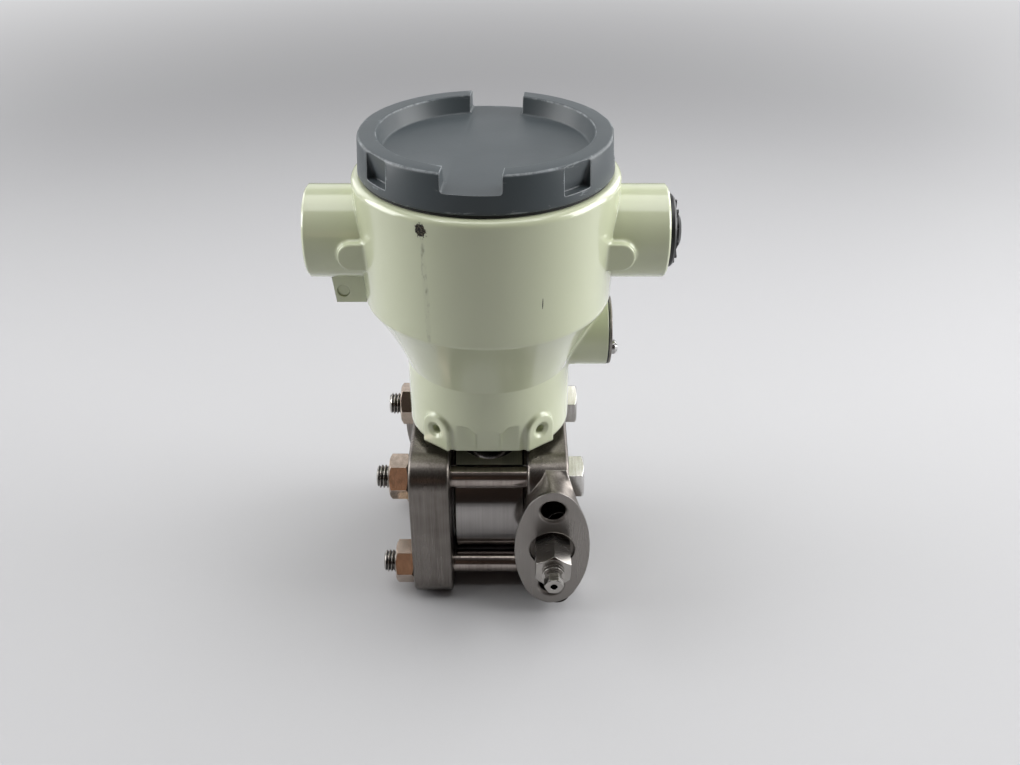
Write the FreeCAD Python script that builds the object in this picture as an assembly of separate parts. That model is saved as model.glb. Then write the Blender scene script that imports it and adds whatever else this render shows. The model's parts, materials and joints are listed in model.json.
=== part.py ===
import FreeCAD, Part
import math
import os

# Differential pressure transmitter: a stainless measuring cell clamped between two
# bolted covers, and above it a painted aluminium housing with a screwed cap.
# Millimetres.  +Z up, the high side's port faces -Y, the conduit entries lie along X.

# ---- cell covers -------------------------------------------------------------------
COVER_DEPTH = 82.0            # front to back
COVER_HEIGHT = 74.4
COVER_THICKNESS = 17.4
COVER_EDGE_ROUND = 1.5
COVER_SPACING = 32.6          # clear distance between the covers' inner faces
CHAMBER_RADIUS = 22.0         # pressure chamber in the inner face of each cover
CHAMBER_DEPTH = 2.5
BOLT_PITCH_Y = 56.0
BOLT_PITCH_Z = 48.4
BOLT_HOLE_DIAMETER = 11.0

# ---- oval port face on each cover --------------------------------------------------
PORT_SPACING = 54.0           # between the axes of the two ports
OVAL_WIDTH = 32.0
OVAL_HEIGHT = 62.0
OVAL_RIM = 1.4                # straight edge of the oval face
OVAL_REACH = 47.7             # oval face from the cell's mid plane
NECK_FOOT_WIDTH = 17.0        # port neck where it leaves the cover
NECK_FOOT_HEIGHT = 68.0
# Corners of the neck's foot, as parts of its half width and height, each with the place
# on the oval that its ridge runs to, in degrees from the top.
NECK_CORNERS = ((-0.13, 1.0, -4.0), (0.9, 1.0, 42.0), (1.0, 0.42, 75.0), (1.0, -0.42, 105.0),
                (0.9, -1.0, 138.0), (-0.13, -1.0, 184.0), (-1.0, -0.72, 228.0), (-1.0, 0.72, 312.0))
PORT_THREAD_RADIUS = 5.7      # 1/4-18 NPT, tapped
PORT_THREAD_LENGTH = 17.0
PORT_RECESS_RADIUS = 9.7
PORT_RECESS_DEPTH = 1.6
FLANGE_HOLE_PITCH = 41.3
FLANGE_HOLE_RADIUS = 5.05     # 7/16-20 UNF, tapped
FLANGE_HOLE_DEPTH = 11.5      # stops short of the cover bolts
FLANGE_HOLE_TIP = 1.5
FLANGE_HOLE_CHAMFER = 1.1

# ---- cover bolts and nuts ----------------------------------------------------------
BOLT_DIAMETER = 10.0
HEX_ACROSS_FLATS = 17.0
HEAD_HEIGHT = 6.6
NUT_HEIGHT = 8.4
BOLT_PROTRUSION = 6.0
BOLT_END_CHAMFER = 1.2
HEX_CHAMFER_ANGLE = 30.0

# ---- cell body ---------------------------------------------------------------------
CELL_RADIUS = 31.0
CELL_WIDTH = 30.4
SPIGOT_RADIUS = 27.0
GASKET_THICKNESS = 1.0
GASKET_WIDTH = 3.4
DIAPHRAGM_RADIUS = 21.6
DIAPHRAGM_THICKNESS = 0.3
DIAPHRAGM_WAVES = 3
OIL_SPACE_RADIUS = 19.0
OIL_SPACE_DEPTH = 0.6
OIL_PASSAGE_RADIUS = 1.0
SENSOR_RADIUS = 8.0
SENSOR_HEIGHT = 16.0
SENSOR_CLEARANCE = 0.1
NECK_RADIUS = 15.0
NECK_COLLAR_RADIUS = 17.5
NECK_CLEARANCE = 0.08
NECK_INSERTION = 15.0
SEAL_SECTION = 1.8

# ---- housing -----------------------------------------------------------------------
BASE_CLEARANCE = 3.6          # housing base above the covers
BASE_RADIUS = 34.5
BASE_FLAT_REACH = 32.0        # flat on the front of the base
BASE_FLAT_HEIGHT = 12.6
BASE_FLAT_HALF_WIDTH = 16.2
BASE_RAMP_HALF_WIDTH = 5.0    # sloping middle that runs out the ledge over the flat
BASE_RAMP_FLARE = 3.0
WAIST_HEIGHT = 30.0           # straight base, before the flare
FLARE_HEIGHT = 30.0
FLARE_SAG = 1.1               # hollow of the flare below a straight cone
DRUM_FOOT_RADIUS = 50.0
DRUM_RADIUS = 52.0
DRUM_HEIGHT = 51.4
RIM_ROUND = 2.6
DRUM_FOOT_ROUND = 3.0
WALL = 5.2
FLOOR_HEIGHT = 18.0
LEDGE_RADIUS = 37.5
LEDGE_HEIGHT = 66.0
THREAD_RADIUS = 45.6
THREAD_DEPTH = 14.5

# ---- conduit hubs, pads and ground lug ---------------------------------------------
HUB_RADIUS = 18.5
HUB_REACH = 70.6
HUB_HEIGHT = 85.3             # hub axis above the base
HUB_BORE_RADIUS = 9.6         # G 1/2, tapped
HUB_CHAMFER = 0.8
PAD_HEIGHT = 11.2
PAD_REACH = 57.0
PAD_FRONT = 22.0
PAD_DROP = 1.7                # pad axis below the hub axis
PAD_ROUND = 0.9
CASTING_FILLET = 1.5
GROUND_LUG_REACH = 63.6
GROUND_LUG_TAPER = 1.5
GROUND_LUG_HEIGHT = 12.2
GROUND_LUG_THICKNESS = 6.0
GROUND_HOLE_RADIUS = 2.55
GROUND_HOLE_INSET = 4.6
GROUND_SCREW_SINK = 0.7

# ---- locking lugs on the base ------------------------------------------------------
LOCK_ANGLE = 38.0             # either side of the front
LOCK_FACE_REACH = 35.9
LOCK_HEIGHT = 8.0
LOCK_BOSS_RADIUS = 7.0
LOCK_HOLE_RADIUS = 2.15
LOCK_MOUTH_RADIUS = 3.75
LOCK_MOUTH_DEPTH = 0.9
LOCK_SCREW_LENGTH = 12.0
LOCK_LUG_FILLET = 1.2
LOCK_LUG_ROUND = 0.8

# ---- adjuster boss -----------------------------------------------------------------
BOSS_RADIUS = 14.7
BOSS_REACH = 49.4
BOSS_HEIGHT = 40.0            # boss axis above the base
ADJUSTER_RADIUS = 4.0
ADJUSTER_CLEARANCE = 0.05
ADJUSTER_RECESS_RADIUS = 6.0
ADJUSTER_RECESS_DEPTH = 4.0
ADJUSTER_INNER_END = 27.0
ADJUSTER_SLOT_WIDTH = 1.2
ADJUSTER_SLOT_DEPTH = 1.5
COVER_DISC_RADIUS = 14.4
COVER_DISC_THICKNESS = 1.0
DISC_GASKET_THICKNESS = 0.6
DISC_GASKET_INNER = 6.6
DISC_SCREW_Y = -9.8
DISC_SCREW_DROP = 2.8
DISC_SCREW_RADIUS = 1.55
DISC_SCREW_CLEARANCE = 0.05
DISC_SCREW_LENGTH = 8.0
DISC_SCREW_HEAD_RADIUS = 3.0
DISC_SCREW_HEAD_HEIGHT = 2.5

# ---- cap ---------------------------------------------------------------------------
CAP_RADIUS = 49.2
CAP_HEIGHT = 14.3             # flange, without the skirt
CAP_RECESS_DEPTH = 7.0
CAP_RECESS_RADIUS = 41.2
CAP_RECESS_DRAFT = 1.7
CAP_SLOT_WIDTH = 21.6
CAP_SLOT_TURN = -5.2
CAP_DISC_THICKNESS = 3.6
CAP_SKIRT_DEPTH = 11.5
CAP_SKIRT_WALL = 4.5
CAP_THREAD_GAP = 0.3
CAP_TOP_ROUND = 0.9
CAP_NOTCH_ANGLES = (48.0, 90.0, 132.0, -48.0, -90.0, -132.0)
CAP_NOTCH_WIDTH = 13.0
CAP_NOTCH_DEPTH = 3.9
CAP_NOTCH_LEDGE = 3.4
CAP_SEAL_HEIGHT = 1.3
CAP_SEAL_INNER = 45.9
CAP_SEAL_OUTER = 48.5

# ---- conduit plug ------------------------------------------------------------------
PLUG_FLANGE_RADIUS = 14.4
PLUG_FLANGE_THICKNESS = 2.8
PLUG_DOME_RADIUS = 7.5
PLUG_DOME_HEIGHT = 3.0
PLUG_SHANK_LENGTH = 12.0
PLUG_SHANK_GAP = 0.3
PLUG_WALL = 1.8
PLUG_RIBS = 12
PLUG_RIB_WIDTH = 1.2
PLUG_RIB_HEIGHT = 1.0

# ---- vent --------------------------------------------------------------------------
VENT_HEX = 14.5
VENT_HEX_FRONT = 61.8
VENT_HEX_TURN = 27.0
VENT_SHANK_LENGTH = 12.0
VENT_SHANK_GAP = 0.1
VENT_RING_RADIUS = 4.6
VENT_RING_HEIGHT = 1.8
VENT_SEAT_RADIUS = 1.5
STEM_RADIUS = 3.4
STEM_CLEARANCE = 0.05
STEM_HEX = 7.0
STEM_TIP = 70.0
STEM_TIP_LENGTH = 4.6
STEM_INNER_END = 50.5
STEM_HOLE_RADIUS = 1.5
STEM_HOLE_DEPTH = 7.0
BALL_RADIUS = 1.8
BALL_GAP = 0.3

# ---- electronics -------------------------------------------------------------------
CAN_CLEARANCE = 1.3
CAN_WALL = 1.6
CAN_HEIGHT = 22.0
BOARD_CLEARANCE = 0.8
BOARD_THICKNESS = 1.6
BOARD_HEIGHT = 13.0           # above the can's floor
PILLAR_RADIUS = 3.0
PILLAR_INSET = 5.1            # from the board's edge
PILLAR_COUNT = 3
BOARD_SCREW_RADIUS = 1.2
BOARD_SCREW_HEAD_RADIUS = 2.3
BOARD_SCREW_HEAD_HEIGHT = 1.6
BOARD_SCREW_LENGTH = 8.0
# The board's soldered parts, as parts of its radius: x, y, width, depth and height.
BOARD_PARTS = ((-0.49, -0.34, 0.41, 0.41, 0.07), (0.11, -0.45, 0.26, 0.19, 0.05),
               (0.34, 0.15, 0.23, 0.30, 0.08), (-0.60, 0.26, 0.19, 0.26, 0.11),
               (-0.11, 0.30, 0.19, 0.19, 0.06))
BLOCK_RADIUS = 43.6
BLOCK_THICKNESS = 8.0
BLOCK_SCREW_CIRCLE = 40.8
BLOCK_SCREW_ANGLES = (60.0, 240.0)
BLOCK_SCREW_RADIUS = 1.6
BLOCK_SCREW_HEAD_RADIUS = 3.0
BLOCK_SCREW_HEAD_HEIGHT = 2.2
BLOCK_SCREW_LENGTH = 16.0
TERMINAL_PITCH = 16.0
TERMINAL_COUNT = 3
TERMINAL_BLOCK_DEPTH = 17.0
TERMINAL_STEP = 5.0
TERMINAL_WALL = 2.0
TERMINAL_SCREW_RADIUS = 2.0
TERMINAL_SCREW_HEAD_RADIUS = 4.0
TERMINAL_SCREW_HEAD_HEIGHT = 2.8
TERMINAL_SCREW_LENGTH = 8.0
CABLE_RADIUS = 2.2
CONNECTOR_WIDTH = 12.0
CONNECTOR_DEPTH = 7.0
CONNECTOR_HEIGHT = 5.0
SCREW_CLEARANCE = 0.05

# ---- heights and reaches that follow from the sizes above ----------------------------
CELL_Z = COVER_HEIGHT / 2
COVER_INNER_X = COVER_SPACING / 2
COVER_OUTER_X = COVER_INNER_X + COVER_THICKNESS
PORT_X = PORT_SPACING / 2
BASE_Z = COVER_HEIGHT + BASE_CLEARANCE
FLARE_FOOT_Z = BASE_Z + WAIST_HEIGHT
DRUM_FOOT_Z = FLARE_FOOT_Z + FLARE_HEIGHT
RIM_Z = DRUM_FOOT_Z + DRUM_HEIGHT
FLOOR_Z = BASE_Z + FLOOR_HEIGHT
LEDGE_Z = BASE_Z + LEDGE_HEIGHT
HUB_Z = BASE_Z + HUB_HEIGHT
BOSS_Z = BASE_Z + BOSS_HEIGHT
CAP_FOOT_Z = RIM_Z + CAP_SEAL_HEIGHT
CAP_TOP_Z = CAP_FOOT_Z + CAP_HEIGHT
CAP_FLOOR_Z = CAP_TOP_Z - CAP_RECESS_DEPTH
PLUG_TIP_X = HUB_REACH + PLUG_FLANGE_THICKNESS + PLUG_DOME_HEIGHT
SPIGOT_X = COVER_INNER_X - GASKET_THICKNESS
CUP_RADIUS = BASE_RADIUS - WALL + 1.0
CAN_RADIUS = CUP_RADIUS - CAN_CLEARANCE
BOARD_RADIUS = CAN_RADIUS - CAN_WALL - BOARD_CLEARANCE
PILLAR_CIRCLE = BOARD_RADIUS - PILLAR_INSET

# The origin is the middle of the footprint box, at the level the covers stand on.
ORIGIN = FreeCAD.Vector((PLUG_TIP_X - HUB_REACH) / 2, (DRUM_RADIUS - STEM_TIP) / 2, 0.0)

X = FreeCAD.Vector(1, 0, 0)
Y = FreeCAD.Vector(0, 1, 0)
Z = FreeCAD.Vector(0, 0, 1)


# ---- shape helpers -----------------------------------------------------------------
def vec(x, y, z):
    return FreeCAD.Vector(x, y, z)


def rod(start, direction, length, radius):
    return Part.makeCylinder(radius, length, start, direction)


def box(low, high):
    size = high - low
    return Part.makeBox(size.x, size.y, size.z, low)


def turned(shape, degrees, centre=None, axis=None):
    copy = shape.copy()
    copy.rotate(centre or vec(0, 0, 0), axis or Z, degrees)
    return copy


def spun(points, start, axis, across):
    """A closed outline of (distance along the axis, radius) pairs, turned about the axis."""
    corners = [start + axis * along + across * radius for along, radius in points]
    outline = Part.makePolygon(corners + corners[:1])
    return Part.Face(outline).revolve(start, axis, 360.0)


def hexagon(start, direction, across_flats, length, turn=0.0):
    """A six-sided bar; with no turn a flat faces up or, for upright bars, to the front."""
    side = vec(0, 1, 0) if abs(direction.y) < 0.5 else vec(1, 0, 0)
    spoke = side * (across_flats / math.sqrt(3.0))
    points = []
    for number in range(6):
        swing = FreeCAD.Rotation(direction, 60.0 * number + turn)
        points.append(start + swing.multVec(spoke))
    return Part.Face(Part.makePolygon(points + points[:1])).extrude(direction * length)


def chamfered_hexagon(start, direction, across_flats, length, turn, both_ends):
    """A hexagon whose corners are turned back by a cone at its outer end, or at both."""
    corner = across_flats / math.sqrt(3.0)
    drop = (corner - across_flats / 2 * 0.97) * math.tan(math.radians(HEX_CHAMFER_ANGLE))
    face_radius = across_flats / 2 * 0.97
    outline = [(0, 0), (0, face_radius if both_ends else corner)]
    if both_ends:
        outline.append((drop, corner))
    outline += [(length - drop, corner), (length, face_radius), (length, 0)]
    across = vec(0, 0, 1) if abs(direction.z) < 0.5 else vec(1, 0, 0)
    envelope = spun(outline, start, direction, across)
    return hexagon(start, direction, across_flats, length, turn).common(envelope)


def pan_screw(seat, direction, radius, length, head_radius, head_height, slot_turn=0.0):
    """A screw with a domed, slotted head whose underside lies on the seat point."""
    across = vec(0, 0, 1) if abs(direction.z) < 0.5 else vec(1, 0, 0)
    outline = [(-length, 0), (-length, radius), (0, radius), (0, head_radius)]
    outline += [(head_height * 0.55, head_radius), (head_height, head_radius * 0.6), (head_height, 0)]
    screw = spun(outline, seat, direction, across)
    slot_width = head_radius * 0.26
    slot = box(vec(-head_radius, -slot_width / 2, 0), vec(head_radius, slot_width / 2, head_height))
    slot.rotate(vec(0, 0, 0), Z, slot_turn)
    slot.Placement = FreeCAD.Placement(seat + direction * (head_height * 0.5),
                                       FreeCAD.Rotation(Z, direction)).multiply(slot.Placement)
    return screw.cut(slot)


def edges_where(shape, test):
    return [edge for edge in shape.Edges if test(edge)]


def bolt_axes():
    """Where the four cover bolts pass, as (y, z): front high, front low, rear high, rear low."""
    return [(side * BOLT_PITCH_Y / 2, CELL_Z + level * BOLT_PITCH_Z / 2)
            for side in (-1, 1) for level in (1, -1)]


# ---- measuring cell ------------------------------------------------------------------
def cover_plate():
    """The cover's rounded plate, standing on the ground, high side."""
    plate = box(vec(COVER_INNER_X, -COVER_DEPTH / 2, 0), vec(COVER_OUTER_X, COVER_DEPTH / 2, COVER_HEIGHT))
    corner = COVER_DEPTH / 2 - BOLT_PITCH_Y / 2
    long_edges = edges_where(plate, lambda edge: abs(edge.tangentAt(edge.FirstParameter).x) > 0.99)
    plate = plate.makeFillet(corner, long_edges)
    rims = edges_where(plate, lambda edge: edge.BoundBox.XLength < 0.001)
    return plate.makeFillet(COVER_EDGE_ROUND, rims)


def ellipse_point(centre, half_width, half_height, degrees):
    angle = math.radians(degrees)
    return centre + vec(half_width * math.sin(angle), 0, half_height * math.cos(angle))


def ellipse_arcs(centre, half_width, half_height, angles):
    """An upright ellipse facing front, as a wire of arcs, one for each side of the neck."""
    arcs = []
    for start, end in zip(angles, angles[1:] + [angles[0] + 360.0]):
        through = [ellipse_point(centre, half_width, half_height, angle)
                   for angle in (start, (start + end) / 2, end)]
        arcs.append(Part.Arc(*through).toShape())
    return Part.Wire(arcs)


def port_neck():
    """The neck that widens from the cover's front edge to the oval port face."""
    rim_y = -(OVAL_REACH - OVAL_RIM)
    foot_y = -(COVER_DEPTH / 2 - COVER_THICKNESS / 4)
    foot_x = (COVER_INNER_X + COVER_OUTER_X) / 2
    half_width = NECK_FOOT_WIDTH / 2
    half_height = NECK_FOOT_HEIGHT / 2
    corners = [vec(foot_x + right * half_width, foot_y, CELL_Z + up * half_height)
               for right, up, angle in NECK_CORNERS]
    foot = Part.makePolygon(corners + corners[:1])
    oval = ellipse_arcs(vec(PORT_X, rim_y, CELL_Z), OVAL_WIDTH / 2, OVAL_HEIGHT / 2,
                        [angle for right, up, angle in NECK_CORNERS])
    neck = Part.makeLoft([foot, oval], True, True)
    flange = Part.Face(oval).extrude(vec(0, -OVAL_RIM, 0))
    return neck.fuse(flange)


def high_cover():
    cover = cover_plate().fuse(port_neck())
    face = vec(PORT_X, -OVAL_REACH, CELL_Z)
    cuts = [rod(face, Y, PORT_RECESS_DEPTH, PORT_RECESS_RADIUS),
            rod(face, Y, PORT_RECESS_DEPTH + PORT_THREAD_LENGTH, PORT_THREAD_RADIUS)]
    for level in (-1, 1):
        mouth = face + vec(0, 0, level * FLANGE_HOLE_PITCH / 2)
        outline = [(0, 0), (0, FLANGE_HOLE_RADIUS + FLANGE_HOLE_CHAMFER),
                   (FLANGE_HOLE_CHAMFER, FLANGE_HOLE_RADIUS), (FLANGE_HOLE_DEPTH, FLANGE_HOLE_RADIUS),
                   (FLANGE_HOLE_DEPTH + FLANGE_HOLE_TIP, 0)]
        cuts.append(spun(outline, mouth, Y, Z))
    for y, z in bolt_axes():
        cuts.append(rod(vec(COVER_INNER_X - OVAL_WIDTH, y, z), X, COVER_THICKNESS + 2 * OVAL_WIDTH,
                        BOLT_HOLE_DIAMETER / 2))
    chamber = [(0, 0), (0, CHAMBER_RADIUS), (CHAMBER_DEPTH, CHAMBER_RADIUS - CHAMBER_DEPTH),
               (CHAMBER_DEPTH, 0)]
    cuts.append(spun(chamber, vec(COVER_INNER_X, 0, CELL_Z), X, Z))
    passage_y = -(OVAL_REACH - PORT_RECESS_DEPTH - PORT_THREAD_LENGTH)
    cuts.append(rod(vec(PORT_X, passage_y, CELL_Z), Y, -passage_y, PORT_THREAD_RADIUS / 3))
    cuts.append(rod(vec(COVER_INNER_X, 0, CELL_Z), X, PORT_X - COVER_INNER_X, PORT_THREAD_RADIUS / 3))
    return cover.cut(Part.makeCompound(cuts)).removeSplitter()


def low_cover():
    """The same casting as the high side's, turned about the vertical: its port faces the rear."""
    return turned(high_cover(), 180.0)


def cell_body():
    """Forged body with a spigot at each end, and the neck that carries the housing."""
    spigot = SPIGOT_X
    half = CELL_WIDTH / 2
    profile = [(-spigot, 0), (-spigot, SPIGOT_RADIUS), (-half, SPIGOT_RADIUS), (-half, CELL_RADIUS - 0.6),
               (-half + 0.6, CELL_RADIUS), (half - 0.6, CELL_RADIUS), (half, CELL_RADIUS - 0.6),
               (half, SPIGOT_RADIUS), (spigot, SPIGOT_RADIUS), (spigot, 0)]
    body = spun(profile, vec(0, 0, CELL_Z), X, Z)
    collar_top = BASE_Z - NECK_CLEARANCE
    neck_top = BASE_Z + NECK_INSERTION
    groove_z = BASE_Z + NECK_INSERTION * 0.3
    neck = spun([(0, 0), (0, NECK_COLLAR_RADIUS), (collar_top - CELL_Z, NECK_COLLAR_RADIUS),
                 (collar_top - CELL_Z, NECK_RADIUS), (neck_top - CELL_Z - 1, NECK_RADIUS),
                 (neck_top - CELL_Z, NECK_RADIUS - 1), (neck_top - CELL_Z, 0)],
                vec(0, 0, CELL_Z), Z, X)
    collar_limit = box(vec(-half, -CELL_RADIUS, CELL_Z), vec(half, CELL_RADIUS, neck_top + 1))
    body = body.fuse(neck.common(collar_limit))
    groove = rod(vec(0, 0, groove_z), Z, SEAL_SECTION, NECK_RADIUS + 1)
    groove = groove.cut(rod(vec(0, 0, groove_z), Z, SEAL_SECTION, NECK_RADIUS - SEAL_SECTION))
    cuts = [groove, rod(vec(0, 0, CELL_Z - SENSOR_HEIGHT / 2), Z, neck_top - CELL_Z + SENSOR_HEIGHT,
                        SENSOR_RADIUS + SENSOR_CLEARANCE)]
    for side in (-1, 1):
        face = vec(side * spigot, 0, CELL_Z)
        inward = X * -side
        cuts.append(rod(face, inward, OIL_SPACE_DEPTH, OIL_SPACE_RADIUS))
        cuts.append(rod(face, inward, spigot, OIL_PASSAGE_RADIUS))
    return body.cut(Part.makeCompound(cuts)).removeSplitter()


def pressure_sensor():
    """Oil-coupled sensing capsule on the floor of the body's bore, with its lead-through."""
    foot = vec(0, 0, CELL_Z - SENSOR_HEIGHT / 2)
    return spun([(0, 0), (0, SENSOR_RADIUS), (SENSOR_HEIGHT, SENSOR_RADIUS),
                 (SENSOR_HEIGHT, SENSOR_RADIUS * 0.6), (SENSOR_HEIGHT + 3, SENSOR_RADIUS * 0.6),
                 (SENSOR_HEIGHT + 3, 0)], foot, Z, X)


def diaphragm(side):
    """Thin isolating membrane with concentric waves, welded to the rim of the spigot's face."""
    front = []
    back = []
    pitch = OIL_SPACE_RADIUS / (2 * DIAPHRAGM_WAVES + 1)
    for number in range(2 * DIAPHRAGM_WAVES + 1):
        lift = DIAPHRAGM_THICKNESS if number % 2 else 0.0
        front.append((DIAPHRAGM_THICKNESS + lift, pitch * (number + 0.5)))
        back.append((lift, pitch * (number + 0.5)))
    front.append((DIAPHRAGM_THICKNESS, DIAPHRAGM_RADIUS))
    back.append((0.0, DIAPHRAGM_RADIUS))
    outline = [(0, 0), (DIAPHRAGM_THICKNESS, 0)] + front + back[::-1]
    return spun(outline, vec(side * SPIGOT_X, 0, CELL_Z), X * side, Z)


def gasket(side):
    """Flat ring that seals the chamber between the spigot's face and the cover."""
    inner = CHAMBER_RADIUS + 0.4
    start = vec(side * SPIGOT_X, 0, CELL_Z)
    ring = rod(start, X * side, GASKET_THICKNESS, inner + GASKET_WIDTH)
    return ring.cut(rod(start, X * side, GASKET_THICKNESS, inner))


def cover_bolt(y, z, turn):
    """Hexagon-head bolt, head on the high side, with a turned-back end beyond its nut."""
    seat = vec(COVER_OUTER_X, y, z)
    length = 2 * COVER_OUTER_X + NUT_HEIGHT + BOLT_PROTRUSION
    radius = BOLT_DIAMETER / 2
    shank = spun([(0, 0), (0, radius), (length - BOLT_END_CHAMFER, radius),
                  (length, radius - BOLT_END_CHAMFER), (length, 0)], seat, X * -1, Z)
    head = chamfered_hexagon(seat, X, HEX_ACROSS_FLATS, HEAD_HEIGHT, turn, False)
    return shank.fuse(head)


def cover_nut(y, z, turn):
    seat = vec(-COVER_OUTER_X, y, z)
    nut = chamfered_hexagon(seat, X * -1, HEX_ACROSS_FLATS, NUT_HEIGHT, turn, True)
    return nut.cut(rod(seat, X * -1, NUT_HEIGHT, BOLT_DIAMETER / 2))


def neck_seal():
    """O-ring in the neck's groove, under the housing."""
    centre = NECK_RADIUS - SEAL_SECTION / 2
    return Part.makeTorus(centre, SEAL_SECTION / 2 * 0.98,
                          vec(0, 0, BASE_Z + NECK_INSERTION * 0.3 + SEAL_SECTION / 2))


# ---- vent in the high side's port ------------------------------------------------------
def vent_plug():
    """Hexagon plug in the port: a bored body whose inner end is the stem's seat."""
    face_y = -(OVAL_REACH - PORT_RECESS_DEPTH)
    seat = vec(PORT_X, face_y, CELL_Z)
    hex_length = VENT_HEX_FRONT + face_y
    body = chamfered_hexagon(seat, Y * -1, VENT_HEX, hex_length, VENT_HEX_TURN, False)
    body = body.fuse(rod(seat, Y, VENT_SHANK_LENGTH, PORT_THREAD_RADIUS - VENT_SHANK_GAP))
    body = body.fuse(rod(vec(PORT_X, -VENT_HEX_FRONT, CELL_Z), Y * -1, VENT_RING_HEIGHT, VENT_RING_RADIUS))
    bore_end = STEM_INNER_END - BALL_RADIUS - BALL_GAP
    bore = rod(vec(PORT_X, -VENT_HEX_FRONT - VENT_RING_HEIGHT, CELL_Z), Y,
               VENT_HEX_FRONT + VENT_RING_HEIGHT - bore_end, STEM_RADIUS + STEM_CLEARANCE)
    passage = rod(vec(PORT_X, -bore_end, CELL_Z), Y, bore_end, VENT_SEAT_RADIUS)
    return body.cut(Part.makeCompound([bore, passage])).removeSplitter()


def vent_ball():
    """The ball that the stem presses on the seat, held in the stem's hollow end."""
    return Part.makeSphere(BALL_RADIUS, vec(PORT_X, -STEM_INNER_END, CELL_Z))


def vent_stem():
    tip = vec(PORT_X, -STEM_TIP, CELL_Z)
    stem = rod(tip, Y, STEM_TIP - STEM_INNER_END, STEM_RADIUS)
    stem = stem.cut(rod(tip, Y, STEM_TIP_LENGTH, STEM_RADIUS + 1))
    nose = chamfered_hexagon(tip + Y * STEM_TIP_LENGTH, Y * -1, STEM_HEX, STEM_TIP_LENGTH, 0.0, False)
    hollow = rod(vec(PORT_X, -STEM_INNER_END, CELL_Z), Y * -1, BALL_RADIUS + BALL_GAP,
                 BALL_RADIUS + BALL_GAP)
    outlet = rod(tip, Y, STEM_HOLE_DEPTH, STEM_HOLE_RADIUS)
    return stem.fuse(nose).cut(Part.makeCompound([hollow, outlet])).removeSplitter()


# ---- housing ---------------------------------------------------------------------------
def flare_arc():
    """Hollow flare between the base and the drum."""
    foot = vec(BASE_RADIUS, 0, FLARE_FOOT_Z)
    top = vec(DRUM_FOOT_RADIUS, 0, DRUM_FOOT_Z)
    outward = vec(FLARE_HEIGHT, 0, BASE_RADIUS - DRUM_FOOT_RADIUS).normalize()
    middle = (foot + top) * 0.5 - outward * FLARE_SAG
    return Part.Arc(foot, middle, top).toShape()


def housing_outside():
    """Turned outline of the casting: base, waist, hollow flare and drum with a rounded rim."""
    rim_centre = vec(DRUM_RADIUS - RIM_ROUND, 0, RIM_Z - RIM_ROUND)
    slant = RIM_ROUND * math.sqrt(0.5)
    edges = [
        Part.LineSegment(vec(0, 0, BASE_Z), vec(BASE_RADIUS, 0, BASE_Z)).toShape(),
        Part.LineSegment(vec(BASE_RADIUS, 0, BASE_Z), vec(BASE_RADIUS, 0, FLARE_FOOT_Z)).toShape(),
        flare_arc(),
        Part.LineSegment(vec(DRUM_FOOT_RADIUS, 0, DRUM_FOOT_Z), rim_centre + vec(RIM_ROUND, 0, 0)).toShape(),
        Part.Arc(rim_centre + vec(RIM_ROUND, 0, 0), rim_centre + vec(slant, 0, slant),
                 rim_centre + vec(0, 0, RIM_ROUND)).toShape(),
        Part.LineSegment(rim_centre + vec(0, 0, RIM_ROUND), vec(0, 0, RIM_Z)).toShape(),
        Part.LineSegment(vec(0, 0, RIM_Z), vec(0, 0, BASE_Z)).toShape(),
    ]
    return Part.Face(Part.Wire(edges)).revolve(vec(0, 0, 0), Z, 360.0)


def conduit_hub(side):
    start = vec(0, 0, HUB_Z)
    return spun([(0, 0), (0, HUB_RADIUS), (HUB_REACH - HUB_CHAMFER, HUB_RADIUS),
                 (HUB_REACH, HUB_RADIUS - HUB_CHAMFER), (HUB_REACH, 0)], start, X * side, Z)


def hub_pad(side):
    """Flat-fronted pad with a round end, between the drum and a hub."""
    radius = PAD_HEIGHT / 2
    axis_z = HUB_Z - PAD_DROP
    end_x = PAD_REACH - radius
    low_x, high_x = sorted((0.0, side * end_x))
    bar = box(vec(low_x, -PAD_FRONT, axis_z - radius), vec(high_x, 0, axis_z + radius))
    pad = bar.fuse(rod(vec(side * end_x, 0, axis_z), Y * -1, PAD_FRONT, radius)).removeSplitter()
    rim = edges_where(pad, lambda edge: edge.BoundBox.YMax < -PAD_FRONT + 0.01
                      and abs(edge.CenterOfMass.x) > 0.1)
    return pad.makeFillet(PAD_ROUND, rim)


def ground_lug():
    """Tapered plate under the left hub, for the earthing screw."""
    top_z = HUB_Z - HUB_RADIUS * 0.9
    low_z = HUB_Z - HUB_RADIUS - GROUND_LUG_HEIGHT
    y = -GROUND_LUG_THICKNESS / 2
    inner_x = -DRUM_FOOT_RADIUS * 0.9
    outline = [vec(inner_x, y, low_z), vec(-GROUND_LUG_REACH + GROUND_LUG_TAPER, y, low_z),
               vec(-GROUND_LUG_REACH, y, top_z), vec(inner_x, y, top_z)]
    return Part.Face(Part.makePolygon(outline + outline[:1])).extrude(Y * GROUND_LUG_THICKNESS)


def ground_hole_mouth():
    return vec(-GROUND_LUG_REACH + GROUND_HOLE_INSET, -GROUND_LUG_THICKNESS / 2,
               HUB_Z - HUB_RADIUS - GROUND_LUG_HEIGHT * 0.58)


def lock_direction(side):
    angle = math.radians(side * LOCK_ANGLE)
    return vec(math.sin(angle), -math.cos(angle), 0)


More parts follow.
